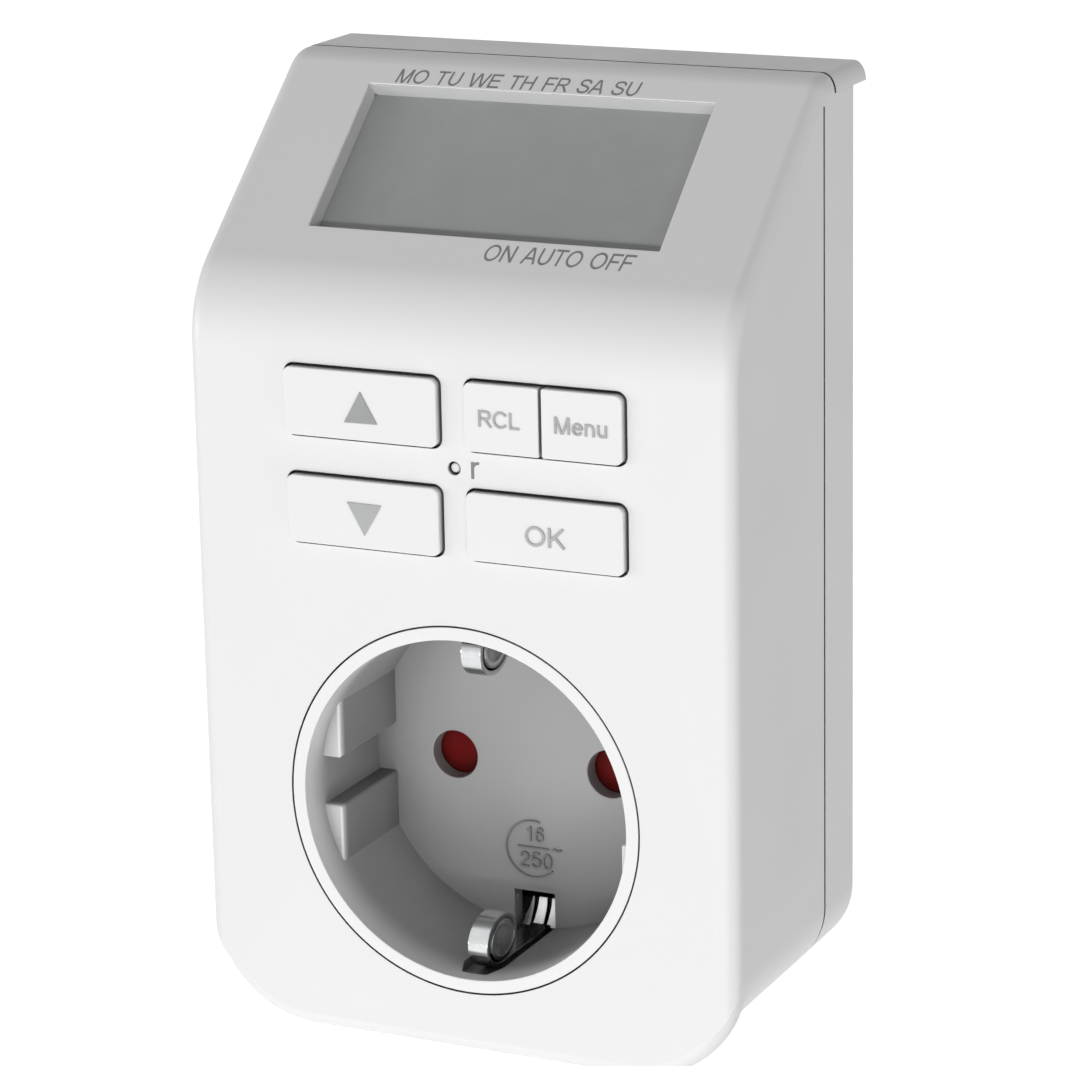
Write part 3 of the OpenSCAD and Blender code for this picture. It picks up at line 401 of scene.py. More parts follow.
PEN = 0.12
LEFT_STEM = ((0.17, 0.0), (0.17, 1.0))
RIGHT_STEM = ((0.84, 0.0), (0.84, 1.0))
GLYPHS: dict[str, Glyph] = {
    " ": Glyph(0.5, ()),
    "A": Glyph(0.93, (((0.06, 0.0), (0.44, 1.0)), ((0.49, 1.0), (0.87, 0.0)), ((0.2, 0.34), (0.73, 0.34)))),
    "C": Glyph(1.0, (bow((0.53, 0.5), 0.42, 0.45, 38, 322, 24),)),
    "E": Glyph(0.93, (LEFT_STEM, ((0.17, 0.94), (0.86, 0.94)), ((0.17, 0.52), (0.81, 0.52)),
                      ((0.17, 0.06), (0.88, 0.06)))),
    "F": Glyph(0.85, (LEFT_STEM, ((0.17, 0.94), (0.82, 0.94)), ((0.17, 0.5), (0.73, 0.5)))),
    "H": Glyph(1.0, (LEFT_STEM, RIGHT_STEM, ((0.17, 0.52), (0.84, 0.52)))),
    "K": Glyph(0.93, (LEFT_STEM, ((0.85, 1.0), (0.2, 0.35)), ((0.42, 0.56), (0.9, 0.0)))),
    "L": Glyph(0.78, (LEFT_STEM, ((0.17, 0.06), (0.76, 0.06)))),
    "M": Glyph(1.16, (LEFT_STEM, ((1.0, 0.0), (1.0, 1.0)), ((0.2, 0.99), (0.56, 0.0)), ((0.61, 0.0), (0.97, 0.99)))),
    "N": Glyph(1.0, (LEFT_STEM, RIGHT_STEM, ((0.18, 0.98), (0.83, 0.02)))),
    "O": Glyph(1.09, whole((0.545, 0.5), 0.43, 0.45)),
    "R": Glyph(1.0, (LEFT_STEM, ((0.17, 0.94), (0.62, 0.94), *bow((0.62, 0.715), 0.2, 0.225, 80, -80, 10),
                                 (0.62, 0.49), (0.17, 0.49)), ((0.52, 0.49), (0.91, 0.0)))),
    "S": Glyph(0.93, (((0.81, 0.72), (0.77, 0.85), (0.65, 0.93), (0.46, 0.945), (0.29, 0.91), (0.19, 0.81),
                       (0.19, 0.69), (0.28, 0.59), (0.46, 0.535), (0.63, 0.49), (0.77, 0.42), (0.82, 0.3),
                       (0.79, 0.16), (0.67, 0.07), (0.47, 0.045), (0.27, 0.09), (0.16, 0.2), (0.13, 0.33)),)),
    "T": Glyph(0.85, (((0.04, 0.94), (0.82, 0.94)), ((0.43, 0.0), (0.43, 0.94)))),
    "U": Glyph(1.0, (((0.17, 1.0), (0.17, 0.4), *bow((0.505, 0.4), 0.335, 0.355, 185, 355), (0.84, 0.4),
                      (0.84, 1.0)),)),
    "W": Glyph(1.32, (((0.05, 1.0), (0.32, 0.0)), ((0.36, 0.0), (0.63, 1.0)), ((0.68, 1.0), (0.95, 0.0)),
                      ((1.0, 0.0), (1.27, 1.0)))),
    "e": Glyph(0.78, (bow((0.39, 0.36), 0.28, 0.31, 0, 325, 24), ((0.12, 0.38), (0.67, 0.38)))),
    "n": Glyph(0.78, (((0.15, 0.0), (0.15, 0.73)), (*bow((0.385, 0.42), 0.235, 0.255, 175, 5), (0.62, 0.4),
                                                    (0.62, 0.0)))),
    "r": Glyph(0.47, (((0.15, 0.0), (0.15, 0.73)), bow((0.36, 0.42), 0.21, 0.26, 175, 75, 8))),
    "u": Glyph(0.78, (((0.62, 0.73), (0.62, 0.0)),
                      ((0.15, 0.73), (0.15, 0.3), *bow((0.385, 0.3), 0.235, 0.25, 185, 355)))),
    "0": Glyph(0.78, whole((0.39, 0.5), 0.27, 0.45)),
    "1": Glyph(0.78, (((0.45, 0.0), (0.45, 1.0)), ((0.45, 0.96), (0.2, 0.74)))),
    "2": Glyph(0.78, (((0.12, 0.7), (0.18, 0.87), (0.38, 0.945), (0.57, 0.88), (0.63, 0.72), (0.55, 0.54),
                       (0.34, 0.35), (0.17, 0.18), (0.11, 0.06), (0.67, 0.06)),)),
    "5": Glyph(0.78, (((0.63, 0.94), (0.22, 0.94), (0.16, 0.52), (0.29, 0.6), (0.46, 0.61), (0.61, 0.51),
                       (0.66, 0.33), (0.58, 0.14), (0.4, 0.05), (0.22, 0.09), (0.12, 0.25)),)),
    "6": Glyph(0.78, (*whole((0.39, 0.32), 0.26, 0.275),
                      ((0.13, 0.34), (0.14, 0.62), (0.24, 0.86), (0.42, 0.945), (0.59, 0.88), (0.65, 0.76)))),
    "~": Glyph(0.82, (((0.06, 0.4), (0.14, 0.5), (0.26, 0.54), (0.4, 0.49), (0.54, 0.43), (0.67, 0.46),
                       (0.76, 0.56)),)),
}


def pen_stroke(line: Sequence[Point], width: float) -> Outline:
    """Draws a stroke of even width along a middle line.

    Args:
        line: Points of the middle line.
        width: Width of the stroke.

    Returns:
        The closed outline.
    """
    left, right = [], []
    last = len(line) - 1
    for i, (x, z) in enumerate(line):
        before = (Vector(line[max(i, 1)]) - Vector(line[max(i, 1) - 1])).normalized()
        after = (Vector(line[min(i, last - 1) + 1]) - Vector(line[min(i, last - 1)])).normalized()
        middle = (before + after).normalized()
        reach = width / 2 / max(middle.dot(before), 0.5)
        left.append((x - middle.y * reach, z + middle.x * reach))
        right.append((x + middle.y * reach, z - middle.x * reach))
    return left + right[::-1]


def write(words: str, pen: float) -> list[Outline]:
    """Writes words with letters of height 1.

    Args:
        words: The words.
        pen: Width of the strokes.

    Returns:
        The outlines of all strokes.
    """
    strokes, x = [], 0.0
    for letter in words:
        glyph = GLYPHS[letter]
        strokes += [[(x + p, q) for p, q in pen_stroke(line, pen)] for line in glyph.strokes]
        x += glyph.width
    return strokes


# ---------------------------------------------------------------- shared sizes


@dataclass(frozen=True)
class Form:
    """Main sizes of the housing, in mm."""

    width: float = 63.6
    depth: float = 34.5
    top: float = 77.2
    foot: float = 23.4
    wall: float = 1.9
    edge: float = 1.75
    low_corner: float = 8.3
    top_corner: float = 2.3
    top_corner_w: float = 1.45
    seam: float = 25.2
    seam_gap: float = 0.14
    seam_edge: float = 0.16
    slope_z: float = 54.8
    crest_depth: float = 25.95
    bend: float = 12.5
    crest: float = 4.5
    cap_front: float = 28.5
    cap_back: float = 3.4
    cap: float = 2.1
    lip_drop: float = 4.3
    lip: float = 2.7
    lip_corner: float = 12.6
    plug_len: float = 17.5
    pin_pitch: float = 19.0
    display_w: float = 41.0
    display_h: float = 19.9
    display_down: float = 14.3
    display_deep: float = 1.95
    display_corner: float = 0.15
    bend_steps: int = 28
    crest_steps: int = 12

    @property
    def half(self) -> float:
        """Half the width."""
        return self.width / 2

    @property
    def tilt(self) -> float:
        """Tilt of the display panel in degrees, back from upright."""
        return math.degrees(math.atan2(self.crest_depth, self.top - self.slope_z))

    @property
    def slope_len(self) -> float:
        """Length of the panel from the front plane to the top plane."""
        return math.hypot(self.crest_depth, self.top - self.slope_z)

    @property
    def display_up(self) -> float:
        """Height of the display's middle on the panel."""
        return self.slope_len - self.display_down

    @property
    def plug_end(self) -> float:
        """Depth of the plug's end face."""
        return self.depth + self.plug_len

    def outline(self, inset: float = 0.0, steps: int = 20) -> Outline:
        """Draws the body seen from the front.

        Args:
            inset: Distance that the outline is set in.
            steps: Chords in each corner.

        Returns:
            The closed outline.
        """
        low = self.low_corner - inset
        wide = max(self.top_corner_w - inset, 0.3)
        high = max(self.top_corner - inset, 0.3)
        half = self.half - inset
        points = soft_box(-half, half, inset - self.foot, self.top, [low, low, SHARP, SHARP], steps)[:2 * steps + 2]
        corner = [(x * wide, z * high) for x, z in arc((0, 0), 1, 0, 90, steps)]
        points += [(half - wide + x, self.top - inset - high + z) for x, z in corner]
        return points + [(wide - half - x, self.top - inset - high + z) for x, z in reversed(corner)]

    def profile(self, inset: float, back: float, low: float) -> Outline:
        """Draws the side view of the body.

        Args:
            inset: Distance that the front, bend, panel and top are set in.
            back: Depth at which the drawing ends.
            low: Height of its lower edge.

        Returns:
            Points as depth and height.
        """
        tilt = self.tilt
        rise = math.radians(tilt)
        points = [(back, low), (inset, low)]
        for a in (tilt * i / self.bend_steps for i in range(self.bend_steps + 1)):
            r = self.bend - inset
            points.append((self.bend - r * math.cos(math.radians(a)),
                           self.slope_z - self.bend * math.tan(rise / 2) + r * math.sin(math.radians(a))))
        middle = self.crest_depth + self.crest * math.tan(math.radians(45 - tilt / 2))
        for a in (tilt + (90 - tilt) * i / self.crest_steps for i in range(self.crest_steps + 1)):
            r = self.crest - inset
            points.append((middle - r * math.cos(math.radians(a)),
                           self.top - self.crest + r * math.sin(math.radians(a))))
        points.append((back, self.top - inset))
        return points

    def on_panel(self, x: float, up: float, below: float) -> Vector:
        """Places a point on the sloping panel.

        Args:
            x: Distance across.
            up: Distance up the panel from its meeting line with the front plane.
            below: Distance below its face.

        Returns:
            The point in mm.
        """
        a = math.radians(self.tilt)
        return Vector((x, at(up * math.sin(a) + below * math.cos(a)),
                       self.slope_z + up * math.cos(a) - below * math.sin(a)))

    def display_outline(self, grow: float) -> Outline:
        """Returns the display opening on the panel, grown by a distance."""
        w, h, up = self.display_w / 2, self.display_h / 2, self.display_up
        return soft_box(-w - grow, w + grow, up - h - grow, up + h + grow, [self.display_corner + grow] * 4, 4)

    def front_region(self, gap: float) -> Object:
        """Makes the region in front of the parting line, as a cutter that is larger than the body.

        Args:
            gap: Distance that the region's rear edge lies behind the line.

        Returns:
            The solid.
        """
        step, beyond = self.top - self.cap, self.top + 2
        seam, cap = self.seam + gap, self.cap_front + gap
        side = [(-2, -60), (seam, -60), (seam, step - 1), (self.seam, step - 0.9), (self.cap_front, step - 0.1),
                (cap, step), (cap, beyond), (-2, beyond)]
        return across("front", [(x, side) for x in (-self.half - 2, self.half + 2)])


FORM = Form()


# ---------------------------------------------------------------- shader effects


Colour = tuple[int, int, int]
Wire = tuple[Node, str | int, Node, str | int]

FLOAT = "NodeSocketFloat"


def put(tree: NodeTree, kind: str, **values: float | Sequence[float]) -> Node:
    """Adds a node to a tree.

    Args:
        tree: The tree.
        kind: Type of the node.
        **values: Values of its inputs, with underscores for spaces in their names.

    Returns:
        The node.
    """
    node = tree.nodes.new(kind)
    for label, value in values.items():
        node.inputs[label.replace("_", " ")].default_value = value
    return node


def wire(tree: NodeTree, *wires: Wire) -> None:
    """Links nodes.

    Args:
        tree: The tree.
        *wires: For each link, the node and output where it starts and the node and input where it ends.
    """
    for source, out, target, into in wires:
        tree.links.new(source.outputs[out], target.inputs[into])


class Effects:
    """Shader groups that several finishes share, each built once."""

    def __init__(self) -> None:
        """Builds the groups."""
        self.grain = self._grain()
        self.wear = self._wear()
        self.brush = self._brush()
        self.dust = self._dust()
        # Masks for painted shade: one that grows with depth behind the front face, and one for joints and recesses.
        self.inside = self._depth_shade()
        self.recess = self._recess()

    @staticmethod
    def _start(name: str, inputs: dict[str, float], *outputs: str) -> tuple[NodeTree, Node, Node]:
        """Opens a new group.

        Args:
            name: Name of the group.
            inputs: Names and first values of the inputs.
            *outputs: Names of the outputs.

        Returns:
            The group with its input and output nodes.
        """
        group = bpy.data.node_groups.new(name, "ShaderNodeTree")
        for label, value in inputs.items():
            socket = group.interface.new_socket(label, in_out="INPUT", socket_type=FLOAT)
            socket.default_value = value
        for label in outputs:
            group.interface.new_socket(label, in_out="OUTPUT", socket_type=FLOAT)
        return group, group.nodes.new("NodeGroupInput"), group.nodes.new("NodeGroupOutput")

    def _grain(self) -> NodeTree:
        """Builds the group for a moulded surface: fine eroded grain and slow clouds.

        Returns:
            The group.
        """
        group, enter, leave = self._start(
            "mould_grain", {"Grain Scale": 2600.0, "Cloud Scale": 60.0, "Cloud Low": 0.0, "Cloud High": 1.0},
            "Height", "Cloud", "Value")
        place = put(group, "ShaderNodeTexCoord")
        fine = put(group, "ShaderNodeTexNoise", Detail=3.0, Roughness=0.6)
        cell = put(group, "ShaderNodeTexVoronoi")
        cell.feature = "SMOOTH_F1"
        cell.inputs["Smoothness"].default_value = 0.6
        cloud = put(group, "ShaderNodeTexNoise", Detail=4.0)
        mix = put(group, "ShaderNodeMath")
        mix.operation = "ADD"
        spread = put(group, "ShaderNodeMapRange", From_Min=0.3, From_Max=0.7)
        wire(group, (place, "Object", fine, "Vector"), (place, "Object", cell, "Vector"),
             (place, "Object", cloud, "Vector"), (enter, "Grain Scale", fine, "Scale"),
             (enter, "Grain Scale", cell, "Scale"), (enter, "Cloud Scale", cloud, "Scale"),
             (fine, "Fac", mix, 0), (cell, "Distance", mix, 1), (cloud, "Fac", spread, "Value"),
             (enter, "Cloud Low", spread, "To Min"), (enter, "Cloud High", spread, "To Max"),
             (mix, 0, leave, "Height"), (cloud, "Fac", leave, "Cloud"), (spread, "Result", leave, "Value"))
        return group

    def _wear(self) -> NodeTree:
        """Builds the group for rubbed edges, broken by noise, and for hollow corners.

        Returns:
            The group.
        """
        group, enter, leave = self._start("edge_wear", {"Start": 0.51, "End": 0.56, "Break Scale": 500.0},
                                          "Mask", "Hollow")
        shape = put(group, "ShaderNodeNewGeometry")
        place = put(group, "ShaderNodeTexCoord")
        noise = put(group, "ShaderNodeTexNoise", Detail=5.0)
        reach = put(group, "ShaderNodeMapRange")
        hollow = put(group, "ShaderNodeMapRange", From_Min=0.5, From_Max=0.44)
        broken = put(group, "ShaderNodeMath")
        broken.operation = "MULTIPLY"
        wire(group, (shape, "Pointiness", hollow, "Value"), (hollow, "Result", leave, "Hollow"),
             (place, "Object", noise, "Vector"), (enter, "Break Scale", noise, "Scale"),
             (shape, "Pointiness", reach, "Value"), (enter, "Start", reach, "From Min"),
             (enter, "End", reach, "From Max"), (reach, "Result", broken, 0), (noise, "Fac", broken, 1),
             (broken, 0, leave, "Mask"))
        return group

    def _brush(self) -> NodeTree:
        """Builds the group for drawn or rolled metal: long fine lines and a slow stain.

        Returns:
            The group.
        """
        group, enter, leave = self._start(
            "drawn_lines", {"Along": 150.0, "Across": 6000.0, "Low": 0.15, "High": 0.3}, "Height", "Value", "Stain")
        place = put(group, "ShaderNodeTexCoord")
        scale = put(group, "ShaderNodeCombineXYZ")
        stretch = put(group, "ShaderNodeVectorMath")
        stretch.operation = "MULTIPLY"
        line = put(group, "ShaderNodeTexNoise", Scale=1.0, Detail=2.0)
        stain = put(group, "ShaderNodeTexNoise", Scale=260.0, Detail=4.0)
        spread = put(group, "ShaderNodeMapRange", From_Min=0.3, From_Max=0.7)
        wire(group, (enter, "Across", scale, "X"), (enter, "Along", scale, "Y"), (enter, "Along", scale, "Z"),
             (place, "Object", stretch, 0), (scale, 0, stretch, 1), (stretch, 0, line, "Vector"),
             (place, "Object", stain, "Vector"), (line, "Fac", spread, "Value"),
             (enter, "Low", spread, "To Min"), (enter, "High", spread, "To Max"),
             (line, "Fac", leave, "Height"), (spread, "Result", leave, "Value"), (stain, "Fac", leave, "Stain"))
        return group

    def _dust(self) -> NodeTree:
        """Builds the group for dust: specks that gather where a corner mask is high.

        Returns:
            The group.
        """
        group, enter, leave = self._start("corner_dust", {"Corner": 0.0, "Speck Scale": 1800.0, "Amount": 0.3},
                                          "Mask")
        place = put(group, "ShaderNodeTexCoord")
        speck = put(group, "ShaderNodeTexNoise", Detail=6.0)
        dots = put(group, "ShaderNodeMapRange", From_Min=0.5, From_Max=0.75)
        mix = put(group, "ShaderNodeMath")
        amount = put(group, "ShaderNodeMath")
        mix.operation = amount.operation = "MULTIPLY"
        wire(group, (place, "Object", speck, "Vector"), (enter, "Speck Scale", speck, "Scale"),
             (speck, "Fac", dots, "Value"), (enter, "Corner", mix, 0), (dots, "Result", mix, 1),
             (mix, 0, amount, 0), (enter, "Amount", amount, 1), (amount, 0, leave, "Mask"))
        return group

    def _recess(self) -> NodeTree:
        """Builds the group for a mask of painted shade in narrow joints and recesses, where less of the room is seen.

        Returns:
            The group.
        """
        group, enter, leave = self._start("recess_shade", {"Reach": 0.0006, "Open": 0.66, "Deep": 0.42}, "Mask")
        hidden = put(group, "ShaderNodeAmbientOcclusion")
        hidden.samples = 8
        spread = put(group, "ShaderNodeMapRange")
        wire(group, (enter, "Reach", hidden, "Distance"), (hidden, "AO", spread, "Value"),
             (enter, "Open", spread, "From Min"), (enter, "Deep", spread, "From Max"),
             (spread, "Result", leave, "Mask"))
        return group

    def _depth_shade(self) -> NodeTree:
        """Builds the group for a mask of painted shade that grows with depth behind the front face.

        Returns:
            The group.
        """
        group, enter, leave = self._start("inside_mask", {"Start": -0.0517, "End": -0.046}, "Mask")
        place = put(group, "ShaderNodeTexCoord")
        apart = put(group, "ShaderNodeSeparateXYZ")
        reach = put(group, "ShaderNodeMapRange")
        reach.interpolation_type = "SMOOTHSTEP"
        wire(group, (place, "Object", apart, 0), (apart, "Y", reach, "Value"), (enter, "Start", reach, "From Min"),
             (enter, "End", reach, "From Max"), (reach, "Result", leave, "Mask"))
        return group


# ---------------------------------------------------------------- finishes


DUST: Colour = (150, 146, 138)
BARE_METAL: Colour = (236, 236, 234)
BOARD_CLOUD: Colour = (20, 62, 34)
MIX_LOW, MIX_HIGH, MIX_RESULT = 6, 7, 2


def blank(name: str) -> tuple[Material, Node]:
    """Makes a plain material.

    Args:
        name: Name of the material.

    Returns:
        The material and its main shader node.
    """
    material = bpy.data.materials.new(name)
    material.use_nodes = True
    return material, material.node_tree.nodes["Principled BSDF"]


def use_group(material: Material, group: NodeTree, **values: float) -> Node:
    """Places an effect in a material.

    Args:
        material: The material.
        group: The effect's group.
        **values: Input values, with underscores for spaces in their names.

    Returns:
        The group's node.
    """
    node = material.node_tree.nodes.new("ShaderNodeGroup")
    node.node_tree = group
    for label, value in values.items():
        node.inputs[label.replace("_", " ")].default_value = value
    return node


def mix_colour(material: Material, mask: NodeSocket, low: NodeSocket | Colour, high: Colour) -> NodeSocket:
    """Mixes two colours by a mask.

    Args:
        material: The material.
        mask: Socket that runs from 0 to 1.
        low: Colour, or a socket with one, where the mask is 0.
        high: Colour where the mask is 1.

    Returns:
        The socket with the mixed colour.
    """
    tree = material.node_tree
    node = tree.nodes.new("ShaderNodeMix")
    node.data_type = "RGBA"
    tree.links.new(mask, node.inputs["Factor"])
    if isinstance(low, NodeSocket):
        tree.links.new(low, node.inputs[MIX_LOW])
    else:
        node.inputs[MIX_LOW].default_value = srgb(*low)
    node.inputs[MIX_HIGH].default_value = srgb(*high)
    return node.outputs[MIX_RESULT]


def relief(material: Material, height: NodeSocket, shader: Node, strength: float, distance: float) -> None:
    """Gives a shader a fine relief.

    Args:
        material: The material.
        height: Socket with the height.
        shader: The shader node.
        strength: Strength from 0 to 1.
        distance: Height of the relief in metres.
    """
    tree = material.node_tree
    bump = put(tree, "ShaderNodeBump", Strength=strength, Distance=distance)
    tree.links.new(height, bump.inputs["Height"])
    tree.links.new(bump.outputs["Normal"], shader.inputs["Normal"])


@dataclass(frozen=True)
class PaintedShade:
    """Painted shade in joints and recesses, darker where less of the room is seen: its colour, how far it looks for
    walls, and where it starts and is full.
    """

    colour: Colour = (46, 47, 47)
    reach: float = 0.0006
    open: float = 0.8
    deep: float = 0.42

    def lay(self, material: Material, effects: Effects, base: NodeSocket) -> tuple[NodeSocket, NodeSocket]:
        """Lays the painted shade over a colour.

        Args:
            material: The material.
            effects: The shared shader groups.
            base: Socket with the colour below.

        Returns:
            The sockets with the mixed colour and with the mask.
        """
        # Painted shade: mixes towards the shade colour where little of the room is seen.
        mask = use_group(material, effects.recess, Reach=self.reach, Open=self.open, Deep=self.deep).outputs["Mask"]
        return mix_colour(material, mask, base, self.colour), mask


@dataclass(frozen=True)
class Moulded:
    """Moulded plastic, rubber or lacquer with grain, clouds, dust and rubbed edges, and where given painted shade
    that grows with depth and in joints and recesses.
    """

    name: str
    colour: Colour
    shade: Colour
    worn: Colour
    gloss_low: float = 0.36
    gloss_high: float = 0.46
    grain: float = 2600.0
    depth: float = 0.000012
    strength: float = 0.25
    level: float = 0.5
    coat: float = 0.0
    # Painted shade: colour that the surface takes deeper behind the front face, from inside_from to inside_to.
    inside: Colour | None = None
    inside_from: float = -0.0517
    inside_to: float = -0.046
    # Painted shade in joints and recesses.
    painted_shade: PaintedShade | None = None
    dusty: float = 0.3
    cloud: float = 70.0

    def make(self, effects: Effects) -> Material:
        """Makes the material.

        Args:
            effects: The shared shader groups.

        Returns:
            The finished material.
        """
        material, shader = blank(self.name)
        links = material.node_tree.links
        grain = use_group(material, effects.grain, Grain_Scale=self.grain, Cloud_Scale=self.cloud,
                          Cloud_Low=self.gloss_low, Cloud_High=self.gloss_high)
        wear = use_group(material, effects.wear)
        dust = use_group(material, effects.dust, Amount=self.dusty)
        base = mix_colour(material, grain.outputs["Cloud"], self.colour, self.shade)
        rubbed = mix_colour(material, wear.outputs["Mask"], base, self.worn)
        # Painted shade that darkens the colour deeper behind the front face.
        if self.inside:
            depth = use_group(material, effects.inside, Start=self.inside_from, End=self.inside_to)
            rubbed = mix_colour(material, depth.outputs["Mask"], rubbed, self.inside)
        corner = wear.outputs["Hollow"]
        # Painted shade in joints and recesses; its mask also sets where dust gathers.
        if self.painted_shade:
            rubbed, corner = self.painted_shade.lay(material, effects, rubbed)
        links.new(corner, dust.inputs["Corner"])
        # Dust over the worn colour and the painted shade.
        dusty = mix_colour(material, dust.outputs["Mask"], rubbed, DUST)
        links.new(dusty, shader.inputs["Base Color"])
        links.new(grain.outputs["Value"], shader.inputs["Roughness"])
        shader.inputs["Specular IOR Level"].default_value = self.level
        shader.inputs["Coat Weight"].default_value = self.coat
        relief(material, grain.outputs["Height"], shader, self.strength, self.depth)
        return material


@dataclass(frozen=True)
class Metal:
    """Plated or rolled metal with drawn lines, stain and rubbed edges, and where given painted shade in joints and
    recesses.
    """

    name: str
    colour: Colour
    stain: Colour
    gloss_low: float = 0.14
    gloss_high: float = 0.28
    along: float = 150.0
    across: float = 6000.0
    depth: float = 0.000004
    strength: float = 0.2
    # Painted shade in joints and recesses.
    painted_shade: PaintedShade | None = None

    def make(self, effects: Effects) -> Material:
        """Makes the material.

        Args:
            effects: The shared shader groups.

        Returns:
            The finished material.
        """
        material, shader = blank(self.name)
        links = material.node_tree.links
        lines = use_group(material, effects.brush, Along=self.along, Across=self.across,
                          Low=self.gloss_low, High=self.gloss_high)
        wear = use_group(material, effects.wear)
        base = mix_colour(material, lines.outputs["Stain"], self.colour, self.stain)
        worn = mix_colour(material, wear.outputs["Mask"], base, BARE_METAL)
        # Painted shade in joints and recesses, laid over the worn colour.
        if self.painted_shade:
            worn, _ = self.painted_shade.lay(material, effects, worn)
        links.new(worn, shader.inputs["Base Color"])
        links.new(lines.outputs["Value"], shader.inputs["Roughness"])
        shader.inputs["Metallic"].default_value = 1.0
        relief(material, lines.outputs["Height"], shader, self.strength, self.depth)
        return material


@dataclass(frozen=True)
class Lacquered:
    """Circuit board with its weave, copper traces under green lacquer and clouds."""

    name: str
    colour: Colour
    trace: Colour
    depth: float = 0.00001
    strength: float = 0.3

    def make(self, effects: Effects) -> Material:
        """Makes the material.

        Args:
            effects: The shared shader groups.

        Returns:
            The finished material.
        """
        material, shader = blank(self.name)
        tree = material.node_tree
        grain = use_group(material, effects.grain, Grain_Scale=1400.0, Cloud_Scale=120.0,
                          Cloud_Low=0.25, Cloud_High=0.4)
        place = put(tree, "ShaderNodeTexCoord")
        turn = put(tree, "ShaderNodeMapping", Rotation=(math.pi / 2, 0, 0))
        brick = put(tree, "ShaderNodeTexBrick", Scale=180.0, Mortar_Size=0.012, Color1=srgb(*self.colour),
                    Color2=srgb(*self.colour), Mortar=srgb(*self.trace))
        cloud = mix_colour(material, grain.outputs["Cloud"], brick.outputs["Color"], BOARD_CLOUD)
        tree.links.new(cloud, shader.inputs["Base Color"])
        wire(tree, (place, "Object", turn, "Vector"), (turn, 0, brick, "Vector"),
             (grain, "Value", shader, "Roughness"))
        relief(material, grain.outputs["Height"], shader, self.strength, self.depth)
        return material


@dataclass(frozen=True)
class ClearSheet:
    """Clear, slightly smoked window with a faint film and fine scratches."""

    name: str
    colour: Colour
    cover: float
    film: Colour = (186, 189, 188)
    level: float = 0.4
    depth: float = 0.000002
    strength: float = 0.05

    def make(self, effects: Effects) -> Material:
        """Makes the material.

        Args:
            effects: The shared shader groups.

        Returns:
            The finished material.
        """
        material, shader = blank(self.name)
        links = material.node_tree.links
        lines = use_group(material, effects.brush, Along=60.0, Across=2500.0, Low=0.3, High=0.38)
        base = mix_colour(material, lines.outputs["Stain"], self.colour, self.film)
        links.new(base, shader.inputs["Base Color"])
        links.new(lines.outputs["Value"], shader.inputs["Roughness"])
        shader.inputs["Alpha"].default_value = self.cover
        shader.inputs["Specular IOR Level"].default_value = self.level
        relief(material, lines.outputs["Height"], shader, self.strength, self.depth)
        return material


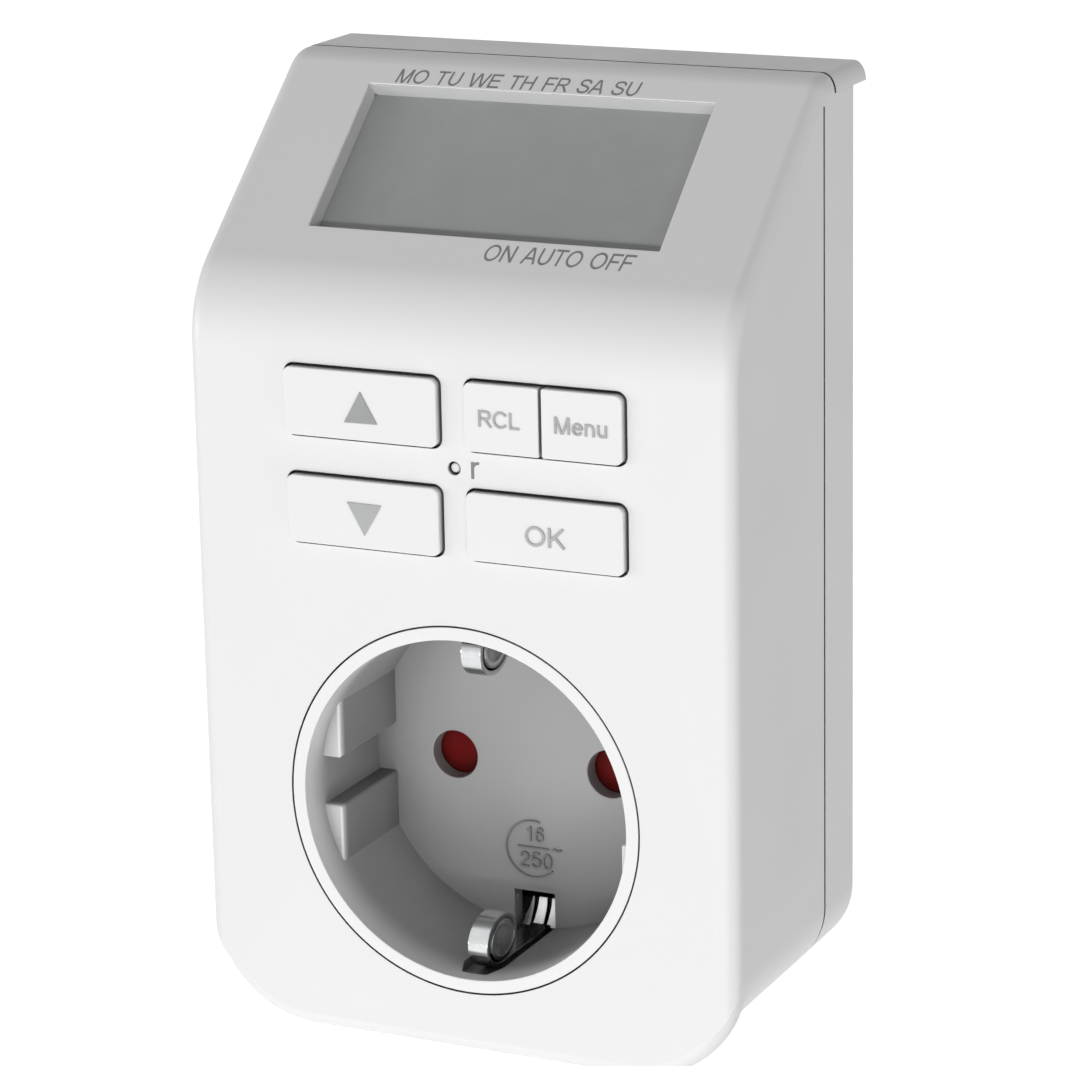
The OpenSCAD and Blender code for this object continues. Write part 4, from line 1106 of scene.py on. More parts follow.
FINISHES: dict[str, Moulded | Metal | Lacquered | ClearSheet] = {finish.name: finish for finish in (
    # Painted shade in the seam, key gaps and other joints.
    Moulded("shell_white", (240, 240, 240), (239, 239, 239), (241, 241, 241), painted_shade=PaintedShade()),
    # A copy of the shell's white with darker and wider painted shade, so that the seam gap reads dark.
    Moulded("rear_white", (240, 240, 240), (239, 239, 239), (241, 241, 241),
            painted_shade=PaintedShade((34, 35, 35), 0.0012, 0.92, 0.5)),
    # Painted shade: a grey copy of the shell's white for the display recess walls, with painted shade in its joints
    # too.
    Moulded("lining_white", (214, 215, 215), (210, 211, 211), (218, 218, 218), 0.5, 0.6, 2400.0,
            0.00001, 0.3, painted_shade=PaintedShade((90, 91, 91), 0.0005, 0.62, 0.4)),
    # Painted shade on the keys' side walls in the gaps around them.
    Moulded("key_white", (242, 242, 242), (240, 240, 240), (244, 244, 244), 0.3, 0.4, 3000.0,
            0.000008, 0.2, painted_shade=PaintedShade((168, 169, 169), 0.0012, 0.9, 0.4)),
    # Painted shade: the well turns grey deeper behind the front face, and darker still in its recesses and pin holes.
    Moulded("insert_white", (244, 244, 244), (241, 241, 241), (246, 246, 246), 0.34, 0.44,
            inside=(175, 175, 175), painted_shade=PaintedShade((134, 135, 135), 0.008, 0.92, 0.05)),
    # A copy of the insert's white whose painted shade turns the blocks' sides grey behind their front faces, darker
    # in the gaps.
    Moulded("block_white", (244, 244, 244), (241, 241, 241), (246, 246, 246), 0.34, 0.44,
            inside=(156, 156, 156), inside_from=-0.04785, inside_to=-0.04665,
            painted_shade=PaintedShade((78, 79, 79), 0.007, 0.82, 0.05)),
    # Painted shade: the raised rating marks are grey to stand in for the shadows along their edges.
    Moulded("mark_white", (134, 135, 135), (126, 127, 127), (150, 150, 150), 0.4, 0.5, 3000.0,
            0.000006, 0.2),
    ClearSheet("window_clear", (200, 202, 201), 0.7),
    Moulded("lcd_grey", (190, 193, 191), (184, 187, 186), (198, 200, 198), 0.35, 0.45, 5000.0,
            0.000003, 0.1),
    Moulded("inner_plastic", (205, 206, 203), (196, 197, 194), (216, 216, 214), 0.4, 0.55),
    Moulded("rubber_grey", (84, 84, 86), (74, 74, 76), (98, 98, 98), 0.6, 0.8, 1800.0,
            0.00002, 0.4),
    Lacquered("board_green", (24, 78, 42), (46, 116, 62)),
    Metal("screw_steel", (196, 197, 200), (172, 173, 176), 0.2, 0.36),
    Moulded("black_plastic", (28, 28, 29), (22, 22, 23), (52, 52, 53), 0.35, 0.5, 2200.0),
    Metal("can_metal", (205, 206, 208), (182, 184, 187), 0.16, 0.3),
    Moulded("link_ribbon", (190, 142, 74), (176, 128, 62), (206, 164, 100), 0.25, 0.35),
    Moulded("relay_blue", (32, 74, 140), (26, 62, 122), (62, 104, 166), 0.3, 0.42),
    Moulded("film_yellow", (206, 160, 44), (192, 146, 36), (222, 182, 84), 0.3, 0.42),
    Moulded("fuse_glass", (196, 200, 198), (182, 186, 184), (220, 222, 220), 0.1, 0.2, 3000.0,
            0.000003, 0.1, 0.6),
    Moulded("resistor_tan", (188, 158, 112), (174, 144, 98), (206, 180, 140), 0.35, 0.5),
    # Painted shade: the shutter turns dark red towards the walls of the pin holes.
    Moulded("shutter_red", (118, 8, 9), (110, 7, 8), (126, 12, 12), 0.4, 0.5, 2400.0,
            0.00001, 0.15, level=0.12, painted_shade=PaintedShade((48, 5, 6), 0.004, 0.7, 0.2), dusty=0.04),
    Metal("spring_steel", (176, 177, 180), (150, 152, 156), 0.22, 0.36),
    # Painted shade in the curls and in narrow gaps of the clips.
    Metal("contact_metal", (214, 216, 218), (188, 191, 194), 0.16, 0.28,
          painted_shade=PaintedShade((44, 44, 46), 0.0025, 0.9, 0.35)),
    # Painted shade: the dark metal of the cores that fill the curls stands in for the shade inside them.
    Metal("core_metal", (92, 94, 96), (66, 68, 70), 0.4, 0.6),
    Metal("pin_nickel", (212, 210, 205), (192, 190, 184), 0.14, 0.28),
    Moulded("wire_brown", (92, 54, 34), (80, 46, 28), (116, 76, 54), 0.35, 0.5),
    Moulded("wire_blue", (30, 70, 150), (24, 60, 132), (60, 100, 176), 0.35, 0.5),
    Moulded("print_grey", (122, 124, 124), (112, 114, 114), (140, 142, 142), 0.45, 0.6, 4000.0,
            0.000004, 0.15),
    # Painted shade: a darker copy of legend_grey, for the up arrow.
    Moulded("legend_dark", (154, 155, 156), (148, 149, 150), (168, 169, 170), 0.4, 0.5, 3000.0,
            0.000008, 0.2),
    Moulded("legend_grey", (172, 173, 174), (164, 165, 166), (188, 189, 190), 0.4, 0.5, 3000.0,
            0.000006, 0.2),
)}


# ---------------------------------------------------------------- bench


@dataclass(frozen=True)
class Words:
    """Lettering: its name, its words and the left, right, lower and upper edge of the box that they fill, in mm."""

    name: str
    text: str
    box: tuple[float, float, float, float]


@dataclass
class Bench:
    """Holds the frame and the materials, and puts finished pieces in place."""

    frame: dict
    effects: Effects = field(default_factory=Effects)
    materials: dict[str, Material] = field(default_factory=dict)
    flat_weight: int = 90
    sharp_angle: float = 28.0

    def finish(self, name: str) -> Material:
        """Gives the material of a finish, made when it is first needed.

        Args:
            name: Name of the finish.

        Returns:
            The material.
        """
        if name not in self.materials:
            self.materials[name] = FINISHES[name].make(self.effects)
        return self.materials[name]

    def place(self, piece: Object, body: str, slot: str, *nodes: str, finish: str | None = None) -> Object:
        """Scales a piece to metres, shades it and hands it to the frame.

        Args:
            piece: The piece in mm.
            body: Name of the body that it rides on.
            slot: Material slot of the record.
            *nodes: Nodes that it stands for.
            finish: Finish, where it isn't the slot's own.

        Returns:
            The piece.
        """
        mesh = piece.data
        mesh.transform(Matrix.Scale(MM, 4))
        for face in mesh.polygons:
            face.use_smooth = True
        mesh.set_sharp_from_angle(angle=math.radians(self.sharp_angle))
        mesh.materials.clear()
        mesh.materials.append(self.finish(finish or slot))
        normals = piece.modifiers.new("flat_faces", "WEIGHTED_NORMAL")
        normals.keep_sharp = True
        normals.weight = self.flat_weight
        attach(piece, body)
        if nodes:
            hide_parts(*nodes)
        LOG.info("%s: %d faces on %s, %s", piece.name, len(mesh.polygons), body, finish or slot)
        return piece

    def lettering(self, words: Words, face: Face, body: str, slot: str, finish: str, raised: float,
                  slant: float = 0.0, pen: float = PEN) -> Object:
        """Draws words that fill their box on a face.

        Args:
            words: The words.
            face: Turns across, up and depth below the face into a point.
            body: Name of the body that they ride on.
            slot: Material slot of the record.
            finish: Finish of the letters.
            raised: Height of the letters above the face.
            slant: Slant of the letters.
            pen: Width of the strokes for letters of height 1.

        Returns:
            The lettering.
        """
        strokes = [[(x + slant * z, z) for x, z in stroke] for stroke in write(words.text, pen)]
        xs, zs = ([p[i] for stroke in strokes for p in stroke] for i in (0, 1))
        x0, x1, z0, z1 = words.box
        wide, high = (x1 - x0) / (max(xs) - min(xs)), (z1 - z0) / (max(zs) - min(zs))
        parts = []
        for i, stroke in enumerate(strokes):
            outline = [(x0 + (x - min(xs)) * wide, z0 + (z - min(zs)) * high) for x, z in stroke]
            # Strokes that cross end at different heights, so that their faces don't coincide.
            levels = (LETTER_FOOT, -raised - LETTER_STEP * (i % 5))
            parts.append(loft("stroke", [[face(x, z, level) for x, z in outline] for level in levels]))
        return self.place(gather(words.name, *parts), body, slot, finish=finish)


# ---------------------------------------------------------------- housing


@dataclass
class FrontShell:
    """Front half of the housing with its panel, key openings, socket hole and lip."""

    bench: Bench
    form: Form = FORM
    rim_hole: float = 20.8
    reset_hole: float = 0.75
    display_edge: float = 0.12
    key_edge: float = 0.1
    reset_edge: float = 0.08
    rim_edge: float = 0.02
    fillet_steps: int = 14
    lip_steps: int = 24

    def body(self) -> Object:
        """Makes the outer form of the front half.

        Returns:
            The solid.
        """
        form = self.form
        sides = rounding(form.edge, self.fillet_steps)
        left = [(run - form.half, form.profile(inset, form.cap_front + 1, -form.foot)) for run, inset in sides]
        right = [(-x, outline) for x, outline in reversed(left)]
        solid = across("front_shell_body", left + right)
        keep = prism("keep", form.outline(), -1, form.cap_front + 1)
        return join(solid, Join.KEEP, keep, form.front_region(-form.seam_edge))

    def lip(self) -> Object:
        """Makes the lip that hangs below the front.

        Returns:
            The solid.
        """
        form = self.form
        layers = []
        for run, inset in rounding(form.edge, self.fillet_steps) + [(form.lip, 0.0)]:
            r = form.lip_corner - inset
            z0 = inset - form.foot - form.lip_drop
            half = form.half - inset
            layers.append((run, soft_box(-half, half, z0, z0 + 2 * r, [r, r, SHARP, SHARP], self.lip_steps)))
        return slab("lip", layers)

    def cavity(self) -> Object:
        """Makes the hollow inside the front half.

        Returns:
            The cutter.
        """
        form = self.form
        side = form.profile(form.wall, form.cap_front + 2, form.wall - form.foot)
        hollow = across("cavity", [(-form.half, side), (form.half, side)])
        return join(hollow, Join.KEEP, prism("inner", form.outline(form.wall), 0, form.cap_front + 2))

    def build(self, keys: "Keypad") -> Object:
        """Builds the shell.

        Args:
            keys: The keypad, which knows its openings.

        Returns:
            The front shell.
        """
        form = self.form
        shell = join(self.body(), Join.ADD, self.lip())
        through = form.wall + 1
        cutters = [self.cavity(), opening("display_hole", form.display_outline, form.display_deep + 1,
                                          self.display_edge, form.on_panel)]
        for name, key in keys.openings().items():
            cutters.append(opening(f"hole_{name}", key, through, self.key_edge, on_front))
        cutters.append(opening("reset_hole", lambda g: circle((0, keys.reset_z), self.reset_hole + g, 32),
                               through, self.reset_edge, on_front))
        cutters.append(opening("rim_hole", lambda g: circle((0, 0), self.rim_hole + g, 192), through,
                               self.rim_edge, on_front))
        join(shell, Join.CUT, *cutters)
        shell.name = "front_housing"
        return self.bench.place(shell, "housing", "shell_white", "front_shell")


@dataclass
class RearShell:
    """Rear half of the housing with the top cap and the plug body."""

    bench: Bench
    form: Form = FORM
    set_in: float = 0.03
    rim_lap: float = 1.8
    rim_in: float = 2.0
    rim: float = 1.2
    plug_r: float = 18.9
    plug_wall: float = 1.8
    plug_face: float = 3.0
    plug_edge: float = 0.7
    notch_x: float = 16.5
    earth_z: float = 16.3
    earth_half: float = 2.8
    earth_gap: float = 0.4
    earth_gap_half: float = 2.6
    back_edge: float = 0.8
    cap_edge: float = 0.3
    screw_x: float = 27.5
    screw_z: tuple[float, float] = (-15.2, 67.0)
    head_r: float = 2.7
    head_edge: float = 0.25
    head_seat: float = 30.3
    post_r: float = 3.3
    bore_r: float = 1.5
    shank_r: float = 2.75

    def plug_outline(self, inset: float) -> Outline:
        """Draws the section of the plug body, with side flats and earth notches.

        Args:
            inset: Distance that the outline is set in.

        Returns:
            The closed outline.
        """
        r = self.plug_r - inset
        x_flat = self.notch_x - inset
        z_flat = self.earth_z - inset
        half = self.earth_half + inset
        z_side = math.sqrt(r * r - x_flat * x_flat)
        z_top = math.sqrt(r * r - half * half)
        quarter = [(x_flat, 0.0), (x_flat, z_side / 2)]
        quarter += arc((0, 0), r, math.degrees(math.atan2(z_side, x_flat)),
                       math.degrees(math.atan2(z_top, half)), 20)
        quarter += [(half, z_flat), (half / 2, z_flat)]
        upper = quarter + [(0.0, z_flat)] + [(-x, z) for x, z in reversed(quarter)]
        return upper + [(x, -z) for x, z in reversed(upper[1:-1])]

    def body(self) -> Object:
        """Makes the rear half without its openings.

        Returns:
            The solid.
        """
        form = self.form
        gap = form.seam_gap + form.seam_edge
        back = form.depth + form.cap_back
        solid = slab("rear_housing", self._edged(form.seam, form.depth, self.back_edge, self.set_in))
        join(solid, Join.CUT, form.front_region(gap))
        cap = slab("cap", self._edged(form.cap_front + gap, back, self.cap_edge))
        top = soft_box(-form.half - 1, form.half + 1, form.top - form.cap, form.top + 1, [SHARP] * 4, 1)
        join(cap, Join.KEEP, prism("keep", top, 0, back + 1))
        end = form.plug_end - self.plug_edge
        plug = slab("plug", [(form.depth - form.wall, self.plug_outline(0))]
                    + [(end + run, self.plug_outline(self.plug_edge - keep))
                       for run, keep in self._round_over(self.plug_edge)])
        return join(solid, Join.ADD, cap, plug)

    @staticmethod
    def _round_over(radius: float, steps: int = 6) -> list[tuple[float, float]]:
        """Gives the steps of an edge that rounds over towards the back.

        Args:
            radius: Radius of the edge.
            steps: How many steps it has.

        Returns:
            Pairs of run towards the back and radius that is left.
        """
        turns = [math.pi / 2 * i / steps for i in range(steps + 1)]
        return [(radius * math.sin(a), radius * math.cos(a)) for a in turns]

    def _edged(self, start: float, end: float, radius: float, inset: float = 0.0) -> list[tuple[float, Outline]]:
        """Returns layers of the body's outline with a rounded back edge."""
        return [(start, self.form.outline(inset))] + [
            (end - radius + run, self.form.outline(inset + radius - keep)) for run, keep in self._round_over(radius)]

    def _at_screws(self, name: str, rings: Sequence[Point], sides: Sequence[int] = (-1, 1)) -> list[Object]:
        """Returns a turned piece at each housing screw of some sides."""
        return [turned(name, rings, (side * self.screw_x, z), 48) for side in sides for z in self.screw_z]

    def _rim(self) -> Object:
        """Makes the thin rim that reaches into the front half.

        Returns:
            The solid.
        """
        form = self.form
        rim = prism("rim", form.outline(self.rim_in), form.seam - self.rim_lap, form.seam + 3)
        room = prism("room", form.outline(self.rim_in + self.rim), form.seam - 3, form.seam + 4)
        join(rim, Join.CUT, room)
        low = soft_box(-form.half, form.half, -form.foot, form.slope_z, [SHARP] * 4, 1)
        return join(rim, Join.KEEP, prism("keep", low, form.seam - 4, form.seam + 5))

    def build(self) -> Object:
        """Builds the shell.

        Returns:
            The rear shell.
        """
        form = self.form
        back = form.depth - form.wall
        wide = self.head_r + self.head_edge
        hole = [(self.head_seat, self.head_r), (form.depth - self.head_edge, self.head_r), (form.depth, wide),
                (form.depth + 1, wide)]
        shell = self.body()
        cutters = [prism("hollow", form.outline(form.wall), form.seam - 3, back),
                   prism("plug_hollow", self.plug_outline(self.plug_wall), back - 1, form.plug_end - self.plug_face)]
        for side in (-1, 1):
            cutters.append(rod("pin_hole", form.plug_end - 4, form.plug_end + 1, self.shank_r,
                               (side * form.pin_pitch / 2, 0)))
            cutters += self._at_screws("screw_hole", hole, (side,))
            z = side * (self.earth_z + 0.3)
            slit = soft_box(-self.earth_gap_half, self.earth_gap_half, z - self.earth_gap, z + self.earth_gap,
                            [0.05] * 4, 2)
            cutters.append(prism("earth_gap", slit, back - 1, form.depth + 0.1))
        join(shell, Join.CUT, *cutters)
        wells = self._at_screws("screw_post", [(form.seam + 0.1, self.post_r), (form.depth - 0.1, self.post_r)])
        bores = self._at_screws("bore", [(form.seam - 1, self.bore_r), (self.head_seat, self.bore_r),
                                         (self.head_seat, self.head_r), (form.depth + 1, self.head_r)])
        join(shell, Join.ADD, self._rim(), *wells)
        join(shell, Join.CUT, *bores)
        shell.name = "rear_housing"
        # The rear half's finish has heavier painted shade in the seam gap.
        return self.bench.place(shell, "housing", "shell_white", "rear_shell", finish="rear_white")


# ---------------------------------------------------------------- keys


@dataclass(frozen=True)
class Key:
    """One key: its opening and how its flange reaches behind the wall."""

    name: str
    left: float
    right: float
    middle: float
    lap_left: float = 0.8
    lap_right: float = 0.8
    square_left: bool = False
    square_right: bool = False


@dataclass
class Keypad:
    """Five keys with their raised legends, and the reset plunger."""

    bench: Bench
    key_h: float = 7.95
    corner: float = 1.1
    gap: float = 0.26
    proud: float = 0.79
    edge: float = 0.14
    square: float = 0.25
    flange_at: float = 2.0
    flange: float = 0.9
    flange_lap: float = 0.8
    flange_corner: float = 0.4
    stem_end: float = 3.5
    stem_r: float = 1.2
    reset_z: float = 38.15
    legend: float = 0.1
    legend_pen: float = 0.128
    keys: tuple[Key, ...] = (
        Key("up", -19.95, -1.35, 44.075),
        Key("down", -19.95, -1.35, 32.225),
        Key("recall", 1.35, 10.5, 44.075, 0.8, -0.2, square_right=True),
        Key("menu", 10.3, 19.95, 44.075, -0.2, 0.8, square_left=True),
        Key("ok", 1.35, 19.95, 32.225),
    )
    legends: tuple[Words, ...] = (
        Words("recall", "RCL", (3.38, 8.1, 43.1, 44.95)),
        Words("menu", "Menu", (12.1, 18.05, 43.15, 45.0)),
        Words("ok", "OK", (8.5, 13.1, 30.75, 33.05)),
    )
    arrow_up: tuple[Point, ...] = ((-10.48, 45.71), (-8.55, 42.33), (-12.44, 42.27))
    arrow_down: tuple[Point, ...] = ((-10.43, 30.0), (-12.40, 33.52), (-8.34, 33.46))
    plunger: tuple[Point, ...] = ((0.3, 0.3), (0.34, 0.45), (0.45, 0.56), (2.0, 0.56), (2.0, 1.1), (2.9, 1.1),
                                  (2.9, 0.5), (3.5, 0.5))

    def openings(self) -> dict[str, Callable[[float], Outline]]:
        """Gives the openings in the front wall.

        Returns:
            Functions that draw each opening grown by a distance, by name.
        """
        half = self.key_h / 2

        def hole(first: Key, last: Key) -> Callable[[float], Outline]:
            """Returns the opening from the left edge of one key to the right edge of another."""
            return lambda g: soft_box(first.left - g, last.right + g, first.middle - half - g,
                                      first.middle + half + g, [self.corner + g] * 4)
        up, down, recall, menu, ok = self.keys
        return {"up": hole(up, up), "down": hole(down, down), "pair": hole(recall, menu), "ok": hole(ok, ok)}

    def cap(self, key: Key) -> Object:
        """Makes a key's cap, flange and stem.

        Args:
            key: The key.

        Returns:
            The whole key.
        """
        x0, x1 = key.left + self.gap, key.right - self.gap
        half = self.key_h / 2 - self.gap
        corner = self.corner - self.gap
        left = self.square if key.square_left else corner
        right = self.square if key.square_right else corner
        layers = []
        for run, inset in rounding(self.edge, 6):
            r = [max(c - inset, 0.04) for c in (left, right, right, left)]
            layers.append((run - self.proud, soft_box(x0 + inset, x1 - inset, key.middle - half + inset,
                                                      key.middle + half - inset, r, 8)))
        layers.append((self.flange_at + 0.05, layers[-1][1]))
        cap = slab("cap", layers)
        lap = self.flange_lap
        flange = soft_box(key.left - key.lap_left, key.right + key.lap_right, key.middle - self.key_h / 2 - lap,
                          key.middle + self.key_h / 2 + lap, [self.flange_corner] * 4, 4)
        foot = prism("flange", flange, self.flange_at, self.flange_at + self.flange)
        stem = turned("stem", [(self.flange_at, self.stem_r), (self.stem_end - 0.15, self.stem_r),
                               (self.stem_end, self.stem_r - 0.15)], ((key.left + key.right) / 2, key.middle), 32)
        return gather(f"key_cap_{key.name}", cap, foot, stem)

    def arrow(self, name: str, points: Sequence[Point]) -> Object:
        """Returns a raised triangle on a key."""
        return prism(name, list(points), LETTER_FOOT - self.proud, -self.proud - self.legend)

    def on_key(self, x: float, z: float, depth: float) -> Vector:
        """Places a point below a key's face."""
        return Vector((x, at(depth - self.proud), z))

    def build(self) -> None:
        """Builds the keys, their legends and the plunger."""
        bench = self.bench
        for key in self.keys:
            bench.place(self.cap(key), f"{key.name}_key", "key_white", f"key_{key.name}")
        # The up arrow has a darker copy of the legend grey: painted shade.
        bench.place(self.arrow("arrow_up", self.arrow_up), "up_key", "key_white", finish="legend_dark")
        bench.place(self.arrow("arrow_down", self.arrow_down), "down_key", "key_white", finish="legend_grey")
        for words in self.legends:
            bench.lettering(replace(words, name=f"legend_{words.name}"), self.on_key, f"{words.name}_key",
                            "key_white", "legend_grey", self.legend, pen=self.legend_pen)
        tip = turned("plunger", self.plunger, (0, self.reset_z), 32)
        bench.place(tip, "reset_pin", "key_white", "reset_plunger")
        bench.lettering(Words("mark_reset", "r", (2.0, 2.98, 37.22, 39.08)), on_front, "housing", "shell_white",
                        "print_grey", PRINT)


# ---------------------------------------------------------------- display


@dataclass
class Display:
    """Window and display glass behind the sloping panel, and the printed words around it."""

    bench: Bench
    form: Form = FORM
    width: float = 43.4
    height: float = 22.3
    corner: float = 0.5
    edge: float = 0.1
    window: float = 1.1
    glass_at: float = 3.15
    glass: float = 2.0
    glass_in: float = 0.4
    lining_at: float = 0.14
    lining_edge: float = 0.03
    lining_out: float = 0.01
    lining_in: float = 0.07
    slant: float = 0.17
    printed: tuple[Words, ...] = (
        Words("words_days", "MO TU WE TH FR SA SU", (-17.5, 11.5, 30.14, 32.16)),
        Words("words_mode", "ON AUTO OFF", (1.2, 18.3, 7.06, 9.31)),
    )

    def plate(self, name: str, inset: float, start: float, thick: float) -> Object:
        """Makes a plate behind the panel with softly rounded edges.

        Args:
            name: Name of the plate.
            inset: Distance that its outline is set in.
            start: Depth of its front face below the panel.
            thick: Its thickness.

        Returns:
            The plate.
        """
        up = self.form.display_up
        w, h = self.width / 2 - inset, self.height / 2 - inset
        layers = [(start, self.edge), (start + self.edge, 0.0), (start + thick - self.edge, 0.0),
                  (start + thick, self.edge)]
        return loft(name, [[self.form.on_panel(x, z, d) for x, z in
                            soft_box(s - w, w - s, up - h + s, up + h - s, [self.corner] * 4, 5)] for d, s in layers])

    def lining(self) -> Object:
        """Makes the thin lining of the display opening, whose grey finish is painted shade on the recess walls.

        Returns:
            The lining.
        """
        form, out, thin = self.form, -self.lining_out, -self.lining_in
        section = [(self.lining_at, out), (self.lining_at, thin + self.lining_edge),
                   (self.lining_at + self.lining_edge, thin), (form.display_deep, thin), (form.display_deep, out)]
        return loft("display_lining", [[form.on_panel(x, z, depth) for x, z in form.display_outline(grow)]
                                       for depth, grow in section], True)

    def build(self) -> None:
        """Builds the display and the words on the panel."""
        bench = self.bench
        bench.place(self.plate("window_sheet", 0, self.form.display_deep, self.window), "housing", "window_clear",
                    "display_window")
        bench.place(self.plate("display_glass", self.glass_in, self.glass_at, self.glass), "housing", "lcd_grey",
                    "lcd_panel")
        # The lining's grey is painted shade on the walls of the display recess.
        bench.place(self.lining(), "housing", "shell_white", finish="lining_white")
        for words in self.printed:
            bench.lettering(words, self.form.on_panel, "housing", "shell_white", "print_grey", PRINT, self.slant)


# ---------------------------------------------------------------- socket


@dataclass
class SocketInsert:
    """Round well with its ring, guide blocks, earth slots, pin holes and rating marks."""

    bench: Bench
    well_r: float = 19.15
    rim_r: float = 20.62
    floor_at: float = 17.5
    floor_back: float = 19.5
    hole_r: float = 2.75
    hole_edge: float = 0.15
    pin_x: float = 9.5
    block_x: float = 16.8
    block_out: float = 21.0
    block_gap: float = 5.5
    block_h: float = 6.8
    block_at: float = 4.0
    block_edge: float = 0.3
    block_corner: float = 0.35
    slot_at: float = 1.8
    slot_nose: float = 1.5
    slot_half: float = 2.5
    slot_taper: float = 2.6
    slot_in: float = 14.95
    slot_out: float = 20.15
    back_at: float = 19.4
    pocket_end: float = 21.4
    post_end: float = 31.1
    post_r: float = 1.6
    mark_rise: float = 0.25
    mark_centre: Point = (0.0, -9.93)
    mark_outer: float = 3.37
    mark_inner: float = 3.22
    mark_bar: tuple[float, float, float, float] = (-1.9, 1.9, -9.84, -9.67)
    ratings: tuple[Words, ...] = (
        Words("mark_amps", "16", (-0.75, 1.28, -9.05, -7.3)),
        Words("mark_volts", "250", (-1.7, 2.28, -12.15, -10.3)),
        Words("mark_wave", "~", (2.2, 3.5, -9.95, -9.55)),
    )

    def bowl(self) -> Object:
        """Makes the well with its floor and rounded rim.

        Returns:
            The bowl.
        """
        w, r = self.well_r, self.rim_r
        rim = [(0.14, w), (0.05, w + 0.03), (0.015, w + 0.08), (0.0, w + 0.15),
               (0.0, r - 0.08), (0.02, r - 0.03), (0.08, r)]
        return turned("socket_bowl", [(self.floor_at, w)] + rim + [(self.floor_back, r)], sides=192)

    def blocks(self) -> list[Object]:
        """Makes the guide blocks.

        Returns:
            The four blocks.
        """
        things = []
        for sx in (-1, 1):
            for sz in (-1, 1):
                z0 = self.block_gap / 2 if sz > 0 else -self.block_gap / 2 - self.block_h
                x0, x1 = sorted((sx * self.block_x, sx * self.block_out))
                layers = []
                for run, inset in rounding(self.block_edge, EDGE_STEPS):
                    layers.append((self.block_at + run, soft_box(x0 + inset, x1 - inset, z0 + inset,
                                                                 z0 + self.block_h - inset,
                                                                 [self.block_corner - inset] * 4, 5)))
                layers.append((self.floor_at + 1, layers[-1][1]))
                block = slab("block", layers)
                things.append(join(block, Join.KEEP, rod("keep", 0, 19, self.well_r + 0.75, sides=ROUND)))
        return things

    def slots(self) -> list[Object]:
        """Makes the cutters of the earth slots.

        Returns:
            The two cutters.
        """
        taper = self.slot_at + self.slot_taper
        end = self.floor_back + 1
        points = [(-self.slot_nose, self.slot_at), (self.slot_nose, self.slot_at), (self.slot_half, taper),
                  (self.slot_half, end), (-self.slot_half, end), (-self.slot_half, taper)]
        return [loft("slot", [[Vector((x, at(d), side * z)) for x, d in points]
                              for z in (self.slot_in, self.slot_out)]) for side in (-1, 1)]

    def back(self) -> list[Object]:
        """Makes the flange, pocket, posts and ears behind the front wall.

        Returns:
            The pieces.
        """
        flange = hoop("flange", [(2.0, 20.6), (2.0, 23.2), (3.6, 23.2), (3.6, 20.6)])
        pocket = hoop("pocket", [(self.back_at, 13.55), (self.back_at, 14.65), (self.pocket_end, 14.65),
                                 (self.pocket_end, 13.55)])
        posts = [rod("post", self.back_at, end, radius, centre) for end, radius, centre in (
            (self.pocket_end, 2.0, (0, 0)), (self.pocket_end, self.post_r, (0, 10.6)),
            (self.pocket_end, self.post_r, (0, -10.6)), (self.post_end, self.post_r, (-5, 16)),
            (self.post_end, self.post_r, (5, -16)))]
        ears = [prism("ear", soft_box(x0, x1, 10.4, 15.6, [2.0] * 4, 6), 7, 8.6)
                for x0, x1 in ((-27.6, -19.8), (19.8, 27.6))]
        return [flange, pocket, *posts, *ears]

    def on_floor(self, x: float, z: float, depth: float) -> Vector:
        """Places a point below the floor's face."""
        return Vector((x, at(self.floor_at + depth), z))

    def marks(self) -> None:
        """Builds the raised rating marks on the floor, in a grey that is painted shade for the shadows along their
        edges.
        """
        outlines = [*self._ring_parts(), soft_box(*self.mark_bar, [0.05] * 4, 2)]
        ring = [prism("part", outline, self.floor_at + LETTER_FOOT, self.floor_at - self.mark_rise)
                for outline in outlines]
        self.bench.place(gather("mark_ring", *ring), "housing", "insert_white", finish="mark_white")
        for words in self.ratings:
            self.bench.lettering(words, self.on_floor, "housing", "insert_white", "mark_white", self.mark_rise)

    def _ring_parts(self, start: float = 75, sweep: float = 240, steps: int = 48) -> list[Outline]:
        """Draws the raised ring of the mark, open on the right where the bar runs out.

        Args:
            start: First angle in degrees.
            sweep: Angle of the ring in degrees.
            steps: How many parts it has, which overlap a little.

        Returns:
            The outlines of the parts.
        """
        parts = []
        for i in range(steps):
            a, b = start + sweep * i / steps, start + sweep * (i + 1.02) / steps
            parts.append(arc(self.mark_centre, self.mark_outer, a, b, 1)
                         + arc(self.mark_centre, self.mark_inner, b, a, 1))
        return parts

    def build(self) -> None:
        """Builds the insert."""
        bowl = self.bowl()
        cutters = self.slots()
        for side in (-1, 1):
            cutters.append(opening("pin_hole", lambda g, s=side: circle((s * self.pin_x, 0), self.hole_r + g, 64),
                                   3.0, self.hole_edge, self.on_floor))
        join(bowl, Join.CUT, *cutters)
        insert = gather("socket_well", bowl, *self.back())
        self.bench.place(insert, "housing", "insert_white", "socket_insert")
        # The guide blocks' finish paints shade on their sides behind the front faces.
        self.bench.place(gather("guide_blocks", *self.blocks()), "housing", "insert_white", finish="block_white")
        self.marks()


